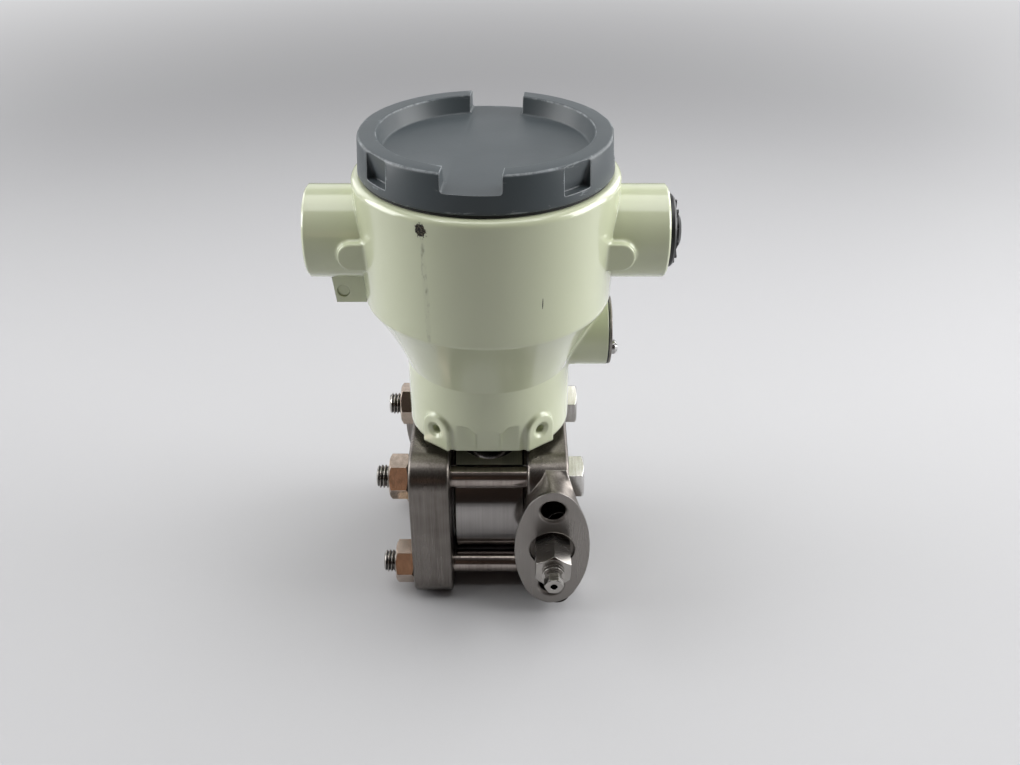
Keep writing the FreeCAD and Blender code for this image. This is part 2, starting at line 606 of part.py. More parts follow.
def lock_lug(side):
    """Boss for a locking screw, faced flat and carried down to the base."""
    outward = lock_direction(side)
    axis = vec(0, 0, BASE_Z + LOCK_HEIGHT)
    boss = rod(axis, outward, LOCK_FACE_REACH, LOCK_BOSS_RADIUS)
    foot = box(vec(-LOCK_BOSS_RADIUS, -LOCK_FACE_REACH, BASE_Z), vec(LOCK_BOSS_RADIUS, 0, BASE_Z + LOCK_HEIGHT))
    return boss.fuse(turned(foot, side * LOCK_ANGLE))


def lock_cuts(side):
    outward = lock_direction(side)
    mouth = vec(0, 0, BASE_Z + LOCK_HEIGHT) + outward * LOCK_FACE_REACH
    dish = spun([(0, 0), (0, LOCK_MOUTH_RADIUS), (LOCK_MOUTH_DEPTH, LOCK_HOLE_RADIUS + 0.4),
                 (LOCK_MOUTH_DEPTH, 0)], mouth, outward * -1, Z)
    return [dish, rod(mouth, outward * -1, LOCK_FACE_REACH - NECK_RADIUS / 2, LOCK_HOLE_RADIUS)]


def base_flat_cut():
    """The flat across the front of the base, with its ledge run out by a sloping middle."""
    top_z = BASE_Z + BASE_FLAT_HEIGHT
    low = vec(-BASE_FLAT_HALF_WIDTH, -BASE_RADIUS - 4, BASE_Z - 1)
    flat = box(low, vec(BASE_FLAT_HALF_WIDTH, -BASE_FLAT_REACH, top_z))
    slope = [vec(low.x, -BASE_FLAT_REACH, BASE_Z - 1), vec(low.x, -BASE_RADIUS - 0.1, top_z + 0.1),
             vec(low.x, 0, top_z + 0.1), vec(low.x, 0, BASE_Z - 1)]
    ramp = Part.Face(Part.makePolygon(slope + slope[:1])).extrude(X * (-2 * low.x))
    wide = BASE_RAMP_HALF_WIDTH + BASE_RAMP_FLARE
    bend = vec(0, 0, top_z - BASE_RAMP_FLARE)
    slant = BASE_RAMP_FLARE * math.sqrt(0.5)
    front = []
    for side in (-1, 1):
        mid = vec(side * (wide - slant), 0, bend.z + BASE_RAMP_FLARE - slant)
        near = side * BASE_RAMP_HALF_WIDTH
        front.append([vec(near, 0, BASE_Z - 2), vec(near, 0, bend.z), mid, vec(side * wide, 0, top_z),
                      vec(side * wide, 0, top_z + 1)])
    outline = front[0] + front[1][::-1]
    middle = Part.Face(Part.makePolygon(outline + outline[:1])).extrude(Y * (low.y - 1))
    return flat.cut(ramp.common(middle))


def housing_inside():
    """Room for the electronics: threaded mouth, drum, ledge for the terminal block, and cup."""
    drum = THREAD_RADIUS - 1.0
    flare_top = min(LEDGE_Z - 4.0, DRUM_FOOT_Z)
    outline = [(FLOOR_Z, 0), (FLOOR_Z, CUP_RADIUS), (FLARE_FOOT_Z + 1.0, CUP_RADIUS),
               (flare_top, LEDGE_RADIUS),
               (LEDGE_Z, LEDGE_RADIUS), (LEDGE_Z, drum), (RIM_Z - THREAD_DEPTH, drum),
               (RIM_Z - THREAD_DEPTH, THREAD_RADIUS), (RIM_Z, THREAD_RADIUS), (RIM_Z, 0)]
    return spun(outline, vec(0, 0, 0), Z, X)


def on_drum(point):
    return (abs(math.hypot(point.x, point.y) - DRUM_RADIUS) < 1.2 and abs(point.y) > 1.0
            and HUB_Z - HUB_RADIUS - 2 < point.z < HUB_Z + HUB_RADIUS + 2)


def on_hub(point):
    return abs(math.hypot(point.y, point.z - HUB_Z) - HUB_RADIUS) < 0.02 and abs(point.x) < PAD_REACH + 1


def edge_points(edge):
    first, last = edge.ParameterRange
    return [edge.valueAt(first + (last - first) * step / 6) for step in range(7)]


def casting_blend(edge):
    """The inner corners where hubs and pads meet the drum and each other."""
    points = edge_points(edge)
    if edge.Length < 3 or edge.Curve.TypeId == "Part::GeomLine":
        return False
    return all(map(on_drum, points)) or all(on_hub(point) and abs(point.y) > 14 for point in points)


def lug_corner(edge):
    """The inner corner where a locking lug meets the base."""
    return edge.Length > 2 and all(abs(math.hypot(point.x, point.y) - BASE_RADIUS) < 0.05 and point.y < -15
                                   and BASE_Z + 1 < point.z < FLARE_FOOT_Z - 5 for point in edge_points(edge))


def lug_rim(edge):
    """The round edge of a locking lug's face."""
    return edge.Curve.TypeId != "Part::GeomLine" and any(
        all(abs(point.dot(lock_direction(side)) - LOCK_FACE_REACH) < 0.01 for point in edge_points(edge))
        for side in (-1, 1))


def boss_corner(edge):
    """The inner corner where the adjuster boss meets the flare."""
    return all(abs(math.hypot(point.y, point.z - BOSS_Z) - BOSS_RADIUS) < 0.02
               and 20 < point.x < BOSS_REACH - 1.5 for point in edge_points(edge))


def hubs_and_drum():
    """Drum, flare and base with the hubs and pads, their inner corners rounded."""
    hubs = [turned(conduit_hub(side), 180.0, vec(0, 0, HUB_Z), X) for side in (-1, 1)]
    drum = turned(housing_outside(), 90.0)
    foot = edges_where(drum, lambda edge: abs(edge.BoundBox.ZMin - DRUM_FOOT_Z) < 0.01
                       and edge.BoundBox.ZLength < 0.01)
    drum = drum.makeFillet(DRUM_FOOT_ROUND, foot)
    whole = drum.fuse(hubs + [hub_pad(-1), hub_pad(1)]).removeSplitter()
    return whole.makeFillet(CASTING_FILLET, edges_where(whole, casting_blend))


def housing():
    """One aluminium casting: drum, flare, base, two hubs, pads, earthing lug, adjuster boss."""
    casting = hubs_and_drum().fuse([lock_lug(-1), lock_lug(1)]).removeSplitter()
    casting = casting.makeFillet(LOCK_LUG_FILLET, edges_where(casting, lug_corner))
    casting = casting.makeFillet(LOCK_LUG_ROUND, edges_where(casting, lug_rim))
    casting = casting.fuse(rod(vec(0, 0, BOSS_Z), X, BOSS_REACH, BOSS_RADIUS)).removeSplitter()
    casting = casting.makeFillet(CASTING_FILLET, edges_where(casting, boss_corner))
    casting = casting.fuse(ground_lug()).removeSplitter()
    cuts = [housing_inside(), rod(vec(0, 0, BASE_Z), Z, FLOOR_HEIGHT, NECK_RADIUS + NECK_CLEARANCE)]
    cuts += [base_flat_cut()] + lock_cuts(-1) + lock_cuts(1)
    cuts.append(rod(vec(-HUB_REACH, 0, HUB_Z), X, 2 * HUB_REACH, HUB_BORE_RADIUS))
    cuts.append(rod(ground_hole_mouth(), Y, GROUND_LUG_THICKNESS * 0.7, GROUND_HOLE_RADIUS))
    boss_face = vec(BOSS_REACH, 0, BOSS_Z)
    cuts.append(rod(boss_face, X * -1, ADJUSTER_RECESS_DEPTH, ADJUSTER_RECESS_RADIUS))
    cuts.append(rod(boss_face, X * -1, BOSS_REACH - ADJUSTER_INNER_END,
                    ADJUSTER_RADIUS + ADJUSTER_CLEARANCE))
    cuts.append(rod(disc_screw_seat(), X * -1, DISC_SCREW_LENGTH + DISC_GASKET_THICKNESS + 4.0,
                    DISC_SCREW_RADIUS + DISC_SCREW_CLEARANCE))
    for x, y in block_screw_points():
        cuts.append(rod(vec(x, y, LEDGE_Z), Z * -1, BLOCK_SCREW_LENGTH - BLOCK_THICKNESS + 1.0,
                        BLOCK_SCREW_RADIUS + SCREW_CLEARANCE))
    return casting.cut(Part.makeCompound(cuts)).removeSplitter()


def lock_screw(side):
    """Set screw with a hexagon socket, whose point stops just short of the neck."""
    outward = lock_direction(side)
    point = vec(0, 0, BASE_Z + LOCK_HEIGHT) + outward * (NECK_RADIUS + 0.4)
    screw = spun([(0, 0), (0, LOCK_HOLE_RADIUS * 0.6), (1, LOCK_HOLE_RADIUS - 0.05),
                  (LOCK_SCREW_LENGTH, LOCK_HOLE_RADIUS - 0.05), (LOCK_SCREW_LENGTH, 0)],
                 point, outward, Z)
    end = point + outward * LOCK_SCREW_LENGTH
    socket = hexagon(vec(0, 0, 0), Z, LOCK_HOLE_RADIUS, 3.0)
    socket.Placement = FreeCAD.Placement(end, FreeCAD.Rotation(Z, outward * -1))
    return screw.cut(socket)


def ground_screw():
    """Earthing screw, sunk just below the lug's face and painted over."""
    mouth = ground_hole_mouth() + Y * GROUND_SCREW_SINK
    return rod(mouth, Y, GROUND_LUG_THICKNESS * 0.7 - GROUND_SCREW_SINK, GROUND_HOLE_RADIUS - 0.05)


# ---- adjuster boss ---------------------------------------------------------------------
def disc_screw_seat():
    return vec(BOSS_REACH + DISC_GASKET_THICKNESS + COVER_DISC_THICKNESS, DISC_SCREW_Y,
               BOSS_Z - DISC_SCREW_DROP)


def zero_adjuster():
    """Slotted shaft that turns in the boss and reaches the electronics inside."""
    outer_x = BOSS_REACH - ADJUSTER_RECESS_DEPTH + 1.5
    inner_x = ADJUSTER_INNER_END - 2.0
    shaft = rod(vec(inner_x, 0, BOSS_Z), X, outer_x - inner_x, ADJUSTER_RADIUS)
    slot = box(vec(outer_x - ADJUSTER_SLOT_DEPTH, -ADJUSTER_RADIUS, BOSS_Z - ADJUSTER_SLOT_WIDTH / 2),
               vec(outer_x, ADJUSTER_RADIUS, BOSS_Z + ADJUSTER_SLOT_WIDTH / 2))
    return shaft.cut(slot)


def disc_plate(start_x, thickness, screw_hole):
    plate = rod(vec(start_x, 0, BOSS_Z), X, thickness, COVER_DISC_RADIUS)
    hole = rod(vec(start_x, DISC_SCREW_Y, BOSS_Z - DISC_SCREW_DROP), X, thickness, screw_hole)
    return plate.cut(hole)


def access_gasket():
    ring = disc_plate(BOSS_REACH, DISC_GASKET_THICKNESS, DISC_SCREW_RADIUS + DISC_SCREW_CLEARANCE)
    return ring.cut(rod(vec(BOSS_REACH, 0, BOSS_Z), X, DISC_GASKET_THICKNESS, DISC_GASKET_INNER))


def access_cover():
    """Disc over the adjuster; it swings aside about its one screw."""
    plate = disc_plate(BOSS_REACH + DISC_GASKET_THICKNESS, COVER_DISC_THICKNESS,
                       DISC_SCREW_RADIUS + DISC_SCREW_CLEARANCE)
    rim = edges_where(plate, lambda edge: abs(edge.Length - 2 * math.pi * COVER_DISC_RADIUS) < 0.01
                      and edge.BoundBox.XMin > BOSS_REACH + DISC_GASKET_THICKNESS + 0.1)
    return plate.makeChamfer(COVER_DISC_THICKNESS * 0.3, rim)


def access_screw():
    length = DISC_SCREW_LENGTH + DISC_GASKET_THICKNESS + COVER_DISC_THICKNESS
    return pan_screw(disc_screw_seat(), X, DISC_SCREW_RADIUS, length, DISC_SCREW_HEAD_RADIUS,
                     DISC_SCREW_HEAD_HEIGHT, 35.0)


# ---- cap -------------------------------------------------------------------------------
def cap():
    """Screwed cap: raised rim crossed by a bar slot, spanner notches, and a threaded skirt."""
    skirt = THREAD_RADIUS - CAP_THREAD_GAP
    under_z = CAP_FLOOR_Z - CAP_DISC_THICKNESS
    foot_z = CAP_FOOT_Z - CAP_SKIRT_DEPTH
    outline = [(under_z, 0), (under_z, skirt - CAP_SKIRT_WALL - 1.0), (under_z - 1.0, skirt - CAP_SKIRT_WALL),
               (foot_z, skirt - CAP_SKIRT_WALL), (foot_z, skirt - 0.8), (foot_z + 0.8, skirt),
               (CAP_FOOT_Z, skirt), (CAP_FOOT_Z, CAP_RADIUS), (CAP_TOP_Z - CAP_TOP_ROUND, CAP_RADIUS),
               (CAP_TOP_Z, CAP_RADIUS - CAP_TOP_ROUND), (CAP_TOP_Z, CAP_RECESS_RADIUS),
               (CAP_FLOOR_Z + 0.8, CAP_RECESS_RADIUS - CAP_RECESS_DRAFT),
               (CAP_FLOOR_Z, CAP_RECESS_RADIUS - CAP_RECESS_DRAFT - 0.8), (CAP_FLOOR_Z, 0)]
    blank = spun(outline, vec(0, 0, 0), Z, X)
    cuts = [box(vec(-CAP_SLOT_WIDTH / 2, -CAP_RADIUS - 1, CAP_FLOOR_Z),
                vec(CAP_SLOT_WIDTH / 2, CAP_RADIUS + 1, CAP_TOP_Z + 1))]
    for angle in CAP_NOTCH_ANGLES:
        notch = box(vec(-CAP_NOTCH_WIDTH / 2, -CAP_RADIUS - 1, CAP_FOOT_Z + CAP_NOTCH_LEDGE),
                    vec(CAP_NOTCH_WIDTH / 2, -CAP_RADIUS + CAP_NOTCH_DEPTH, CAP_TOP_Z + 1))
        cuts.append(turned(notch, angle))
    blank = blank.cut(Part.makeCompound(cuts)).removeSplitter()
    return turned(blank, CAP_SLOT_TURN)


def cap_oring():
    """Flat-sided seal between the cap's flange and the housing's rim."""
    outline = [(RIM_Z, CAP_SEAL_INNER), (CAP_FOOT_Z, CAP_SEAL_INNER), (CAP_FOOT_Z, CAP_SEAL_OUTER - 0.2),
               (CAP_FOOT_Z - 0.25, CAP_SEAL_OUTER), (RIM_Z + 0.25, CAP_SEAL_OUTER),
               (RIM_Z, CAP_SEAL_OUTER - 0.2)]
    return spun(outline, vec(0, 0, 0), Z, X)


# ---- conduit plug ----------------------------------------------------------------------
def conduit_plug():
    """Moulded plug for the spare entry: hollow shank, flange, ribbed dome."""
    shank = HUB_BORE_RADIUS - PLUG_SHANK_GAP
    outline = [(-PLUG_SHANK_LENGTH, shank - PLUG_WALL), (-PLUG_SHANK_LENGTH, shank - 0.6),
               (-PLUG_SHANK_LENGTH + 0.6, shank), (0, shank), (0, PLUG_FLANGE_RADIUS),
               (PLUG_FLANGE_THICKNESS - 0.8, PLUG_FLANGE_RADIUS),
               (PLUG_FLANGE_THICKNESS, PLUG_FLANGE_RADIUS - 0.8), (PLUG_FLANGE_THICKNESS, PLUG_DOME_RADIUS),
               (PLUG_FLANGE_THICKNESS + PLUG_DOME_HEIGHT * 0.6, PLUG_DOME_RADIUS),
               (PLUG_FLANGE_THICKNESS + PLUG_DOME_HEIGHT, PLUG_DOME_RADIUS * 0.72),
               (PLUG_FLANGE_THICKNESS + PLUG_DOME_HEIGHT, 0), (0, 0), (0, shank - PLUG_WALL)]
    plug = spun(outline, vec(HUB_REACH, 0, HUB_Z), X, Z)
    for number in range(PLUG_RIBS):
        rib = box(vec(HUB_REACH + PLUG_FLANGE_THICKNESS - 0.4, -PLUG_RIB_WIDTH / 2, PLUG_DOME_RADIUS - 1.0),
                  vec(HUB_REACH + PLUG_FLANGE_THICKNESS + PLUG_RIB_HEIGHT, PLUG_RIB_WIDTH / 2,
                      PLUG_FLANGE_RADIUS - 1.6))
        rib = turned(rib, 360.0 * number / PLUG_RIBS, axis=X)
        rib.translate(vec(0, 0, HUB_Z))
        plug = plug.fuse(rib)
    return plug.removeSplitter()


# ---- electronics -------------------------------------------------------------------------
def pillar_points():
    points = []
    for number in range(PILLAR_COUNT):
        angle = math.radians(360.0 * number / PILLAR_COUNT + 90.0)
        points.append((PILLAR_CIRCLE * math.cos(angle), PILLAR_CIRCLE * math.sin(angle)))
    return points


def board_z():
    return FLOOR_Z + CAN_WALL + BOARD_HEIGHT


def electronics_can():
    """Open cup on the housing's floor, with the pillars that carry the board."""
    can = rod(vec(0, 0, FLOOR_Z), Z, CAN_HEIGHT, CAN_RADIUS)
    can = can.cut(rod(vec(0, 0, FLOOR_Z + CAN_WALL), Z, CAN_HEIGHT, CAN_RADIUS - CAN_WALL))
    for x, y in pillar_points():
        can = can.fuse(rod(vec(x, y, FLOOR_Z), Z, CAN_WALL + BOARD_HEIGHT, PILLAR_RADIUS))
    cuts = [rod(vec(0, 0, FLOOR_Z), Z, CAN_WALL, NECK_RADIUS * 0.6),
            rod(vec(ADJUSTER_INNER_END - 4.0, 0, BOSS_Z), X, 8.0, ADJUSTER_RADIUS + 0.6)]
    for x, y in pillar_points():
        cuts.append(rod(vec(x, y, board_z()), Z * -1, BOARD_SCREW_LENGTH, BOARD_SCREW_RADIUS + SCREW_CLEARANCE))
    return can.cut(Part.makeCompound(cuts)).removeSplitter()


def main_board():
    """Round circuit board with its soldered parts."""
    board = rod(vec(0, 0, board_z()), Z, BOARD_THICKNESS, BOARD_RADIUS)
    top = board_z() + BOARD_THICKNESS
    for parts in BOARD_PARTS:
        x, y, width, depth, height = (BOARD_RADIUS * part for part in parts)
        board = board.fuse(box(vec(x, y, top), vec(x + width, y + depth, top + height)))
    board = board.fuse(rod(vec(0, -BOARD_RADIUS * 0.68, top), Z, BOARD_RADIUS * 0.19, BOARD_RADIUS * 0.11))
    for x, y in pillar_points():
        board = board.cut(rod(vec(x, y, board_z()), Z, BOARD_THICKNESS, BOARD_SCREW_RADIUS + SCREW_CLEARANCE))
    return board.removeSplitter()


def board_screw(x, y):
    seat = vec(x, y, board_z() + BOARD_THICKNESS)
    return pan_screw(seat, Z, BOARD_SCREW_RADIUS, BOARD_SCREW_LENGTH, BOARD_SCREW_HEAD_RADIUS,
                     BOARD_SCREW_HEAD_HEIGHT)


def sensor_connector():
    """Socket under the board that takes the sensor's leads."""
    return box(vec(-CONNECTOR_WIDTH / 2, -CONNECTOR_DEPTH / 2, board_z() - CONNECTOR_HEIGHT),
               vec(CONNECTOR_WIDTH / 2, CONNECTOR_DEPTH / 2, board_z()))


def sensor_leads():
    """Bundle of leads from the sensor up the neck to the connector."""
    start = vec(0, 0, CELL_Z + SENSOR_HEIGHT / 2 + 3.0)
    return rod(start, Z, board_z() - CONNECTOR_HEIGHT - start.z, CABLE_RADIUS)


def block_screw_points():
    return [(BLOCK_SCREW_CIRCLE * math.cos(math.radians(angle)),
             BLOCK_SCREW_CIRCLE * math.sin(math.radians(angle))) for angle in BLOCK_SCREW_ANGLES]


def terminal_points():
    first = -(TERMINAL_COUNT - 1) / 2 * TERMINAL_PITCH
    return [(first + number * TERMINAL_PITCH, -4.0) for number in range(TERMINAL_COUNT)]


def terminal_block():
    """Moulded disc on the housing's ledge, with a raised step and walls between terminals."""
    block = rod(vec(0, 0, LEDGE_Z), Z, BLOCK_THICKNESS, BLOCK_RADIUS)
    top = LEDGE_Z + BLOCK_THICKNESS
    half = (TERMINAL_COUNT * TERMINAL_PITCH + TERMINAL_WALL) / 2
    y = terminal_points()[0][1]
    block = block.fuse(box(vec(-half, y - TERMINAL_BLOCK_DEPTH / 2, top),
                           vec(half, y + TERMINAL_BLOCK_DEPTH / 2, top + TERMINAL_STEP)))
    for number in range(TERMINAL_COUNT + 1):
        x = -half + number * TERMINAL_PITCH
        block = block.fuse(box(vec(x, y - TERMINAL_BLOCK_DEPTH / 2, top + TERMINAL_STEP),
                               vec(x + TERMINAL_WALL, y + TERMINAL_BLOCK_DEPTH / 2,
                                   top + TERMINAL_STEP + TERMINAL_SCREW_HEAD_HEIGHT)))
    for x, screw_y in terminal_points():
        block = block.cut(rod(vec(x, screw_y, top + TERMINAL_STEP), Z * -1, TERMINAL_SCREW_LENGTH,
                              TERMINAL_SCREW_RADIUS + SCREW_CLEARANCE))
    for x, screw_y in block_screw_points():
        block = block.cut(rod(vec(x, screw_y, LEDGE_Z), Z, BLOCK_THICKNESS,
                              BLOCK_SCREW_RADIUS + SCREW_CLEARANCE))
        block = block.cut(rod(vec(x, screw_y, top - BLOCK_SCREW_HEAD_HEIGHT), Z, BLOCK_THICKNESS,
                              BLOCK_SCREW_HEAD_RADIUS + 0.4))
    return block.removeSplitter()


def terminal_screw(x, y):
    seat = vec(x, y, LEDGE_Z + BLOCK_THICKNESS + TERMINAL_STEP)
    return pan_screw(seat, Z, TERMINAL_SCREW_RADIUS, TERMINAL_SCREW_LENGTH,
                     TERMINAL_SCREW_HEAD_RADIUS, TERMINAL_SCREW_HEAD_HEIGHT)


def block_screw(x, y):
    seat = vec(x, y, LEDGE_Z + BLOCK_THICKNESS - BLOCK_SCREW_HEAD_HEIGHT)
    length = BLOCK_SCREW_LENGTH - BLOCK_SCREW_HEAD_HEIGHT
    return pan_screw(seat, Z, BLOCK_SCREW_RADIUS, length, BLOCK_SCREW_HEAD_RADIUS, BLOCK_SCREW_HEAD_HEIGHT)


# ---- assembly ----------------------------------------------------------------------------
def assembly():
    """Every separate piece of the transmitter, by its name."""
    pieces = {
        "cell_body": cell_body(),
        "pressure_sensor": pressure_sensor(),
        "high_diaphragm": diaphragm(1),
        "low_diaphragm": diaphragm(-1),
        "high_gasket": gasket(1),
        "low_gasket": gasket(-1),
        "high_cover": high_cover(),
        "low_cover": low_cover(),
        "neck_seal": neck_seal(),
        "vent_plug": vent_plug(),
        "vent_ball": vent_ball(),
        "vent_stem": vent_stem(),
        "housing": housing(),
        "lock_screw_left": lock_screw(-1),
        "lock_screw_right": lock_screw(1),
        "ground_screw": ground_screw(),
        "zero_adjuster": zero_adjuster(),
        "access_gasket": access_gasket(),
        "access_cover": access_cover(),
        "access_screw": access_screw(),
        "cap": cap(),
        "cap_oring": cap_oring(),
        "conduit_plug": conduit_plug(),
        "electronics_can": electronics_can(),
        "main_board": main_board(),
        "sensor_connector": sensor_connector(),
        "sensor_leads": sensor_leads(),
        "terminal_block": terminal_block(),
    }
    places = ("front_high", "front_low", "rear_high", "rear_low")
    head_turns = (22.0, 12.0, 30.0, 5.0)
    nut_turns = (0.0, 2.0, 8.5, 17.0)
    for place, (y, z), head_turn, nut_turn in zip(places, bolt_axes(), head_turns, nut_turns):
        pieces["bolt_" + place] = cover_bolt(y, z, head_turn)
        pieces["nut_" + place] = cover_nut(y, z, nut_turn)
    for number, (x, y) in enumerate(pillar_points(), 1):
        pieces["board_screw_%d" % number] = board_screw(x, y)
    for name, (x, y) in zip(("minus", "check", "plus"), terminal_points()):
        pieces["terminal_screw_" + name] = terminal_screw(x, y)
    for name, (x, y) in zip(("rear", "front"), block_screw_points()):
        pieces["block_screw_" + name] = block_screw(x, y)
    return pieces


os.makedirs("parts", exist_ok=True)
for name, piece in assembly().items():
    piece.translate(ORIGIN * -1)
    piece.exportStep("parts/%s.step" % name)
    print("%-22s solids %d  volume %9.1f  valid %s" % (name, len(piece.Solids), piece.Volume, piece.isValid()))
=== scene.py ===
import json
import math

import bpy
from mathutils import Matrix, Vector

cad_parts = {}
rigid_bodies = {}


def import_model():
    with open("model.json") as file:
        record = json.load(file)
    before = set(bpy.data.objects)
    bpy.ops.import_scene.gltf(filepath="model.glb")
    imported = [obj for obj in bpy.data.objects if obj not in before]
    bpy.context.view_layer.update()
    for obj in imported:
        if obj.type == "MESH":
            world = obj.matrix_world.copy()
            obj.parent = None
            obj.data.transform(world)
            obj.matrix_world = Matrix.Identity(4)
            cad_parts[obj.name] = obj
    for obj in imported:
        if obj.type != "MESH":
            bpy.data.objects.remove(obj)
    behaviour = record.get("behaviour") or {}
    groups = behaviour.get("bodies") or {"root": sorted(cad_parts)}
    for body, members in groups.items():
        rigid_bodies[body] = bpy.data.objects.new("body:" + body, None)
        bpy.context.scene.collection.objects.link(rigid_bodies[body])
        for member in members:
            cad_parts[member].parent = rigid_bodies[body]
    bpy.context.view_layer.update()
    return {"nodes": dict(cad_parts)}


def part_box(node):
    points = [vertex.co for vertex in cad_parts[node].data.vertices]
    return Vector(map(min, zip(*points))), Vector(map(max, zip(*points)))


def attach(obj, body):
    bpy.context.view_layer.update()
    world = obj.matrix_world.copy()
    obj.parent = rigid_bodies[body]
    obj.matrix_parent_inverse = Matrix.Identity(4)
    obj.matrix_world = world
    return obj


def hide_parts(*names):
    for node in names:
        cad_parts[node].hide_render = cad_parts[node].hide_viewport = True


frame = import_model()

# ---- studio ------------------------------------------------------------------------
# A pale floor under one wide lamp, with tall lamps at the sides and behind and a few
# small ones in front for highlights.  The room beyond is dim, so glossy metal shows dark
# bands between its highlights, as on a real bench.
MM = 0.001
scene = bpy.context.scene
scene.view_settings.view_transform = "Standard"
cap_low, cap_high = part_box("cap")
axis_x = (cap_low.x + cap_high.x) / 2
axis_y = (cap_low.y + cap_high.y) / 2
camera_offset = Vector((9.07 * MM, -375.5 * MM, 333.2 * MM))     # from the foot of the cap's axis
camera_down = 32.8                                               # degrees below the horizon
lamp_aim = Vector((axis_x, axis_y, 0.12))

camera_data = bpy.data.cameras.new("camera")
camera_data.sensor_width = 36.0
camera_data.lens = 36.15
camera = bpy.data.objects.new("camera", camera_data)
camera.location = Vector((axis_x, axis_y, 0.0)) + camera_offset
camera.rotation_euler = (math.radians(90.0 - camera_down), 0.0, 0.0)
scene.collection.objects.link(camera)
scene.camera = camera


def soft_lamp(name, place, width, height, power, colour=(1.0, 1.0, 1.0)):
    """A rectangular lamp that faces the part."""
    lamp_data = bpy.data.lights.new(name, "AREA")
    lamp_data.shape = "RECTANGLE"
    lamp_data.size = width
    lamp_data.size_y = height
    lamp_data.energy = power
    lamp_data.color = colour
    lamp = bpy.data.objects.new(name, lamp_data)
    lamp.location = place
    lamp.rotation_euler = (lamp_aim - Vector(place)).to_track_quat("-Z", "Y").to_euler()
    scene.collection.objects.link(lamp)


soft_lamp("overhead", (0.0, 0.1, 1.3), 1.2, 1.0, 9.0)
soft_lamp("left_window", (-1.1, 0.10, 0.55), 0.8, 0.9, 11.8)
soft_lamp("right_window", (1.1, 0.08, 0.55), 0.8, 0.9, 15.0)
soft_lamp("left_rear", (-0.9, 0.9, 0.6), 0.6, 0.9, 3.0)
soft_lamp("right_rear", (0.9, 0.9, 0.6), 0.7, 0.9, 6.5)
soft_lamp("rear", (0.0, 1.4, 0.75), 1.6, 0.8, 2.5)
soft_lamp("left_spot", (-0.55, -0.35, 1.25), 0.12, 0.12, 0.5)
soft_lamp("right_spot", (0.60, -0.30, 1.25), 0.12, 0.12, 0.5)
soft_lamp("warm_card", (-0.20, -0.95, 0.42), 0.16, 0.20, 0.05, (1.0, 0.62, 0.42))


def set_inputs(tree, node, inputs):
    """Gives a node its inputs: another node's socket, a number, or a colour of three numbers."""
    for name, value in inputs.items():
        socket = node.inputs[name]
        if isinstance(value, bpy.types.NodeSocket):
            tree.links.new(value, socket)
        elif socket.type == "RGBA":
            socket.default_value = (*value, 1.0)
        else:
            socket.default_value = value


def add_node(tree, kind, inputs=None, **settings):
    """A shader node with its settings and inputs."""
    node = tree.nodes.new(kind)
    for name, value in settings.items():
        setattr(node, name, value)
    set_inputs(tree, node, inputs or {})
    return node


def maths(tree, operation, *values, **settings):
    """The result of one sum on sockets or numbers."""
    inputs = dict(enumerate(values))
    return add_node(tree, "ShaderNodeMath", inputs, operation=operation, **settings).outputs[0]


def fade(tree, value, start, end, first=0.0, last=1.0, **settings):
    """Goes from first to last while the value goes from start to end, and stays level beyond them."""
    inputs = {"Value": value, "From Min": start, "From Max": end, "To Min": first, "To Max": last}
    return add_node(tree, "ShaderNodeMapRange", inputs, **settings).outputs["Result"]


def blend_colour(tree, mask, first, second, **settings):
    """first where the mask is 0, second where it is 1; each a colour or a socket."""
    inputs = {"Factor": mask, "A": first, "B": second}
    return add_node(tree, "ShaderNodeMix", inputs, data_type="RGBA", **settings).outputs["Result"]


def new_material(name):
    """A material, its node tree and its shader."""
    material = bpy.data.materials.new(name)
    material.use_nodes = True
    return material, material.node_tree, material.node_tree.nodes["Principled BSDF"]


# the room is dim where it lights the part and pale where it is looked at
pale_room = (0.80, 0.80, 0.81)
world = bpy.data.worlds.new("room")
scene.world = world
world.use_nodes = True
room = world.node_tree
direction = add_node(room, "ShaderNodeTexCoord")
compass = add_node(room, "ShaderNodeSeparateXYZ", {"Vector": direction.outputs["Generated"]})
towards_front = fade(room, compass.outputs["Y"], -0.2, -0.75)
room_light = blend_colour(room, towards_front, (0.11, 0.11, 0.115), (0.035, 0.026, 0.022))
seen = add_node(room, "ShaderNodeLightPath").outputs
seen_straight = maths(room, "MAXIMUM", seen["Is Camera Ray"], seen["Is Transmission Ray"])
mirrored_share = fade(room, towards_front, 0.0, 1.0, 0.12, 0.0)
mirrored = maths(room, "MULTIPLY", seen["Is Glossy Ray"], mirrored_share)
seen_at_all = maths(room, "MAXIMUM", seen_straight, mirrored)
room_colour = blend_colour(room, seen_at_all, room_light, pale_room)
set_inputs(room, room.nodes["Background"], {"Color": room_colour})

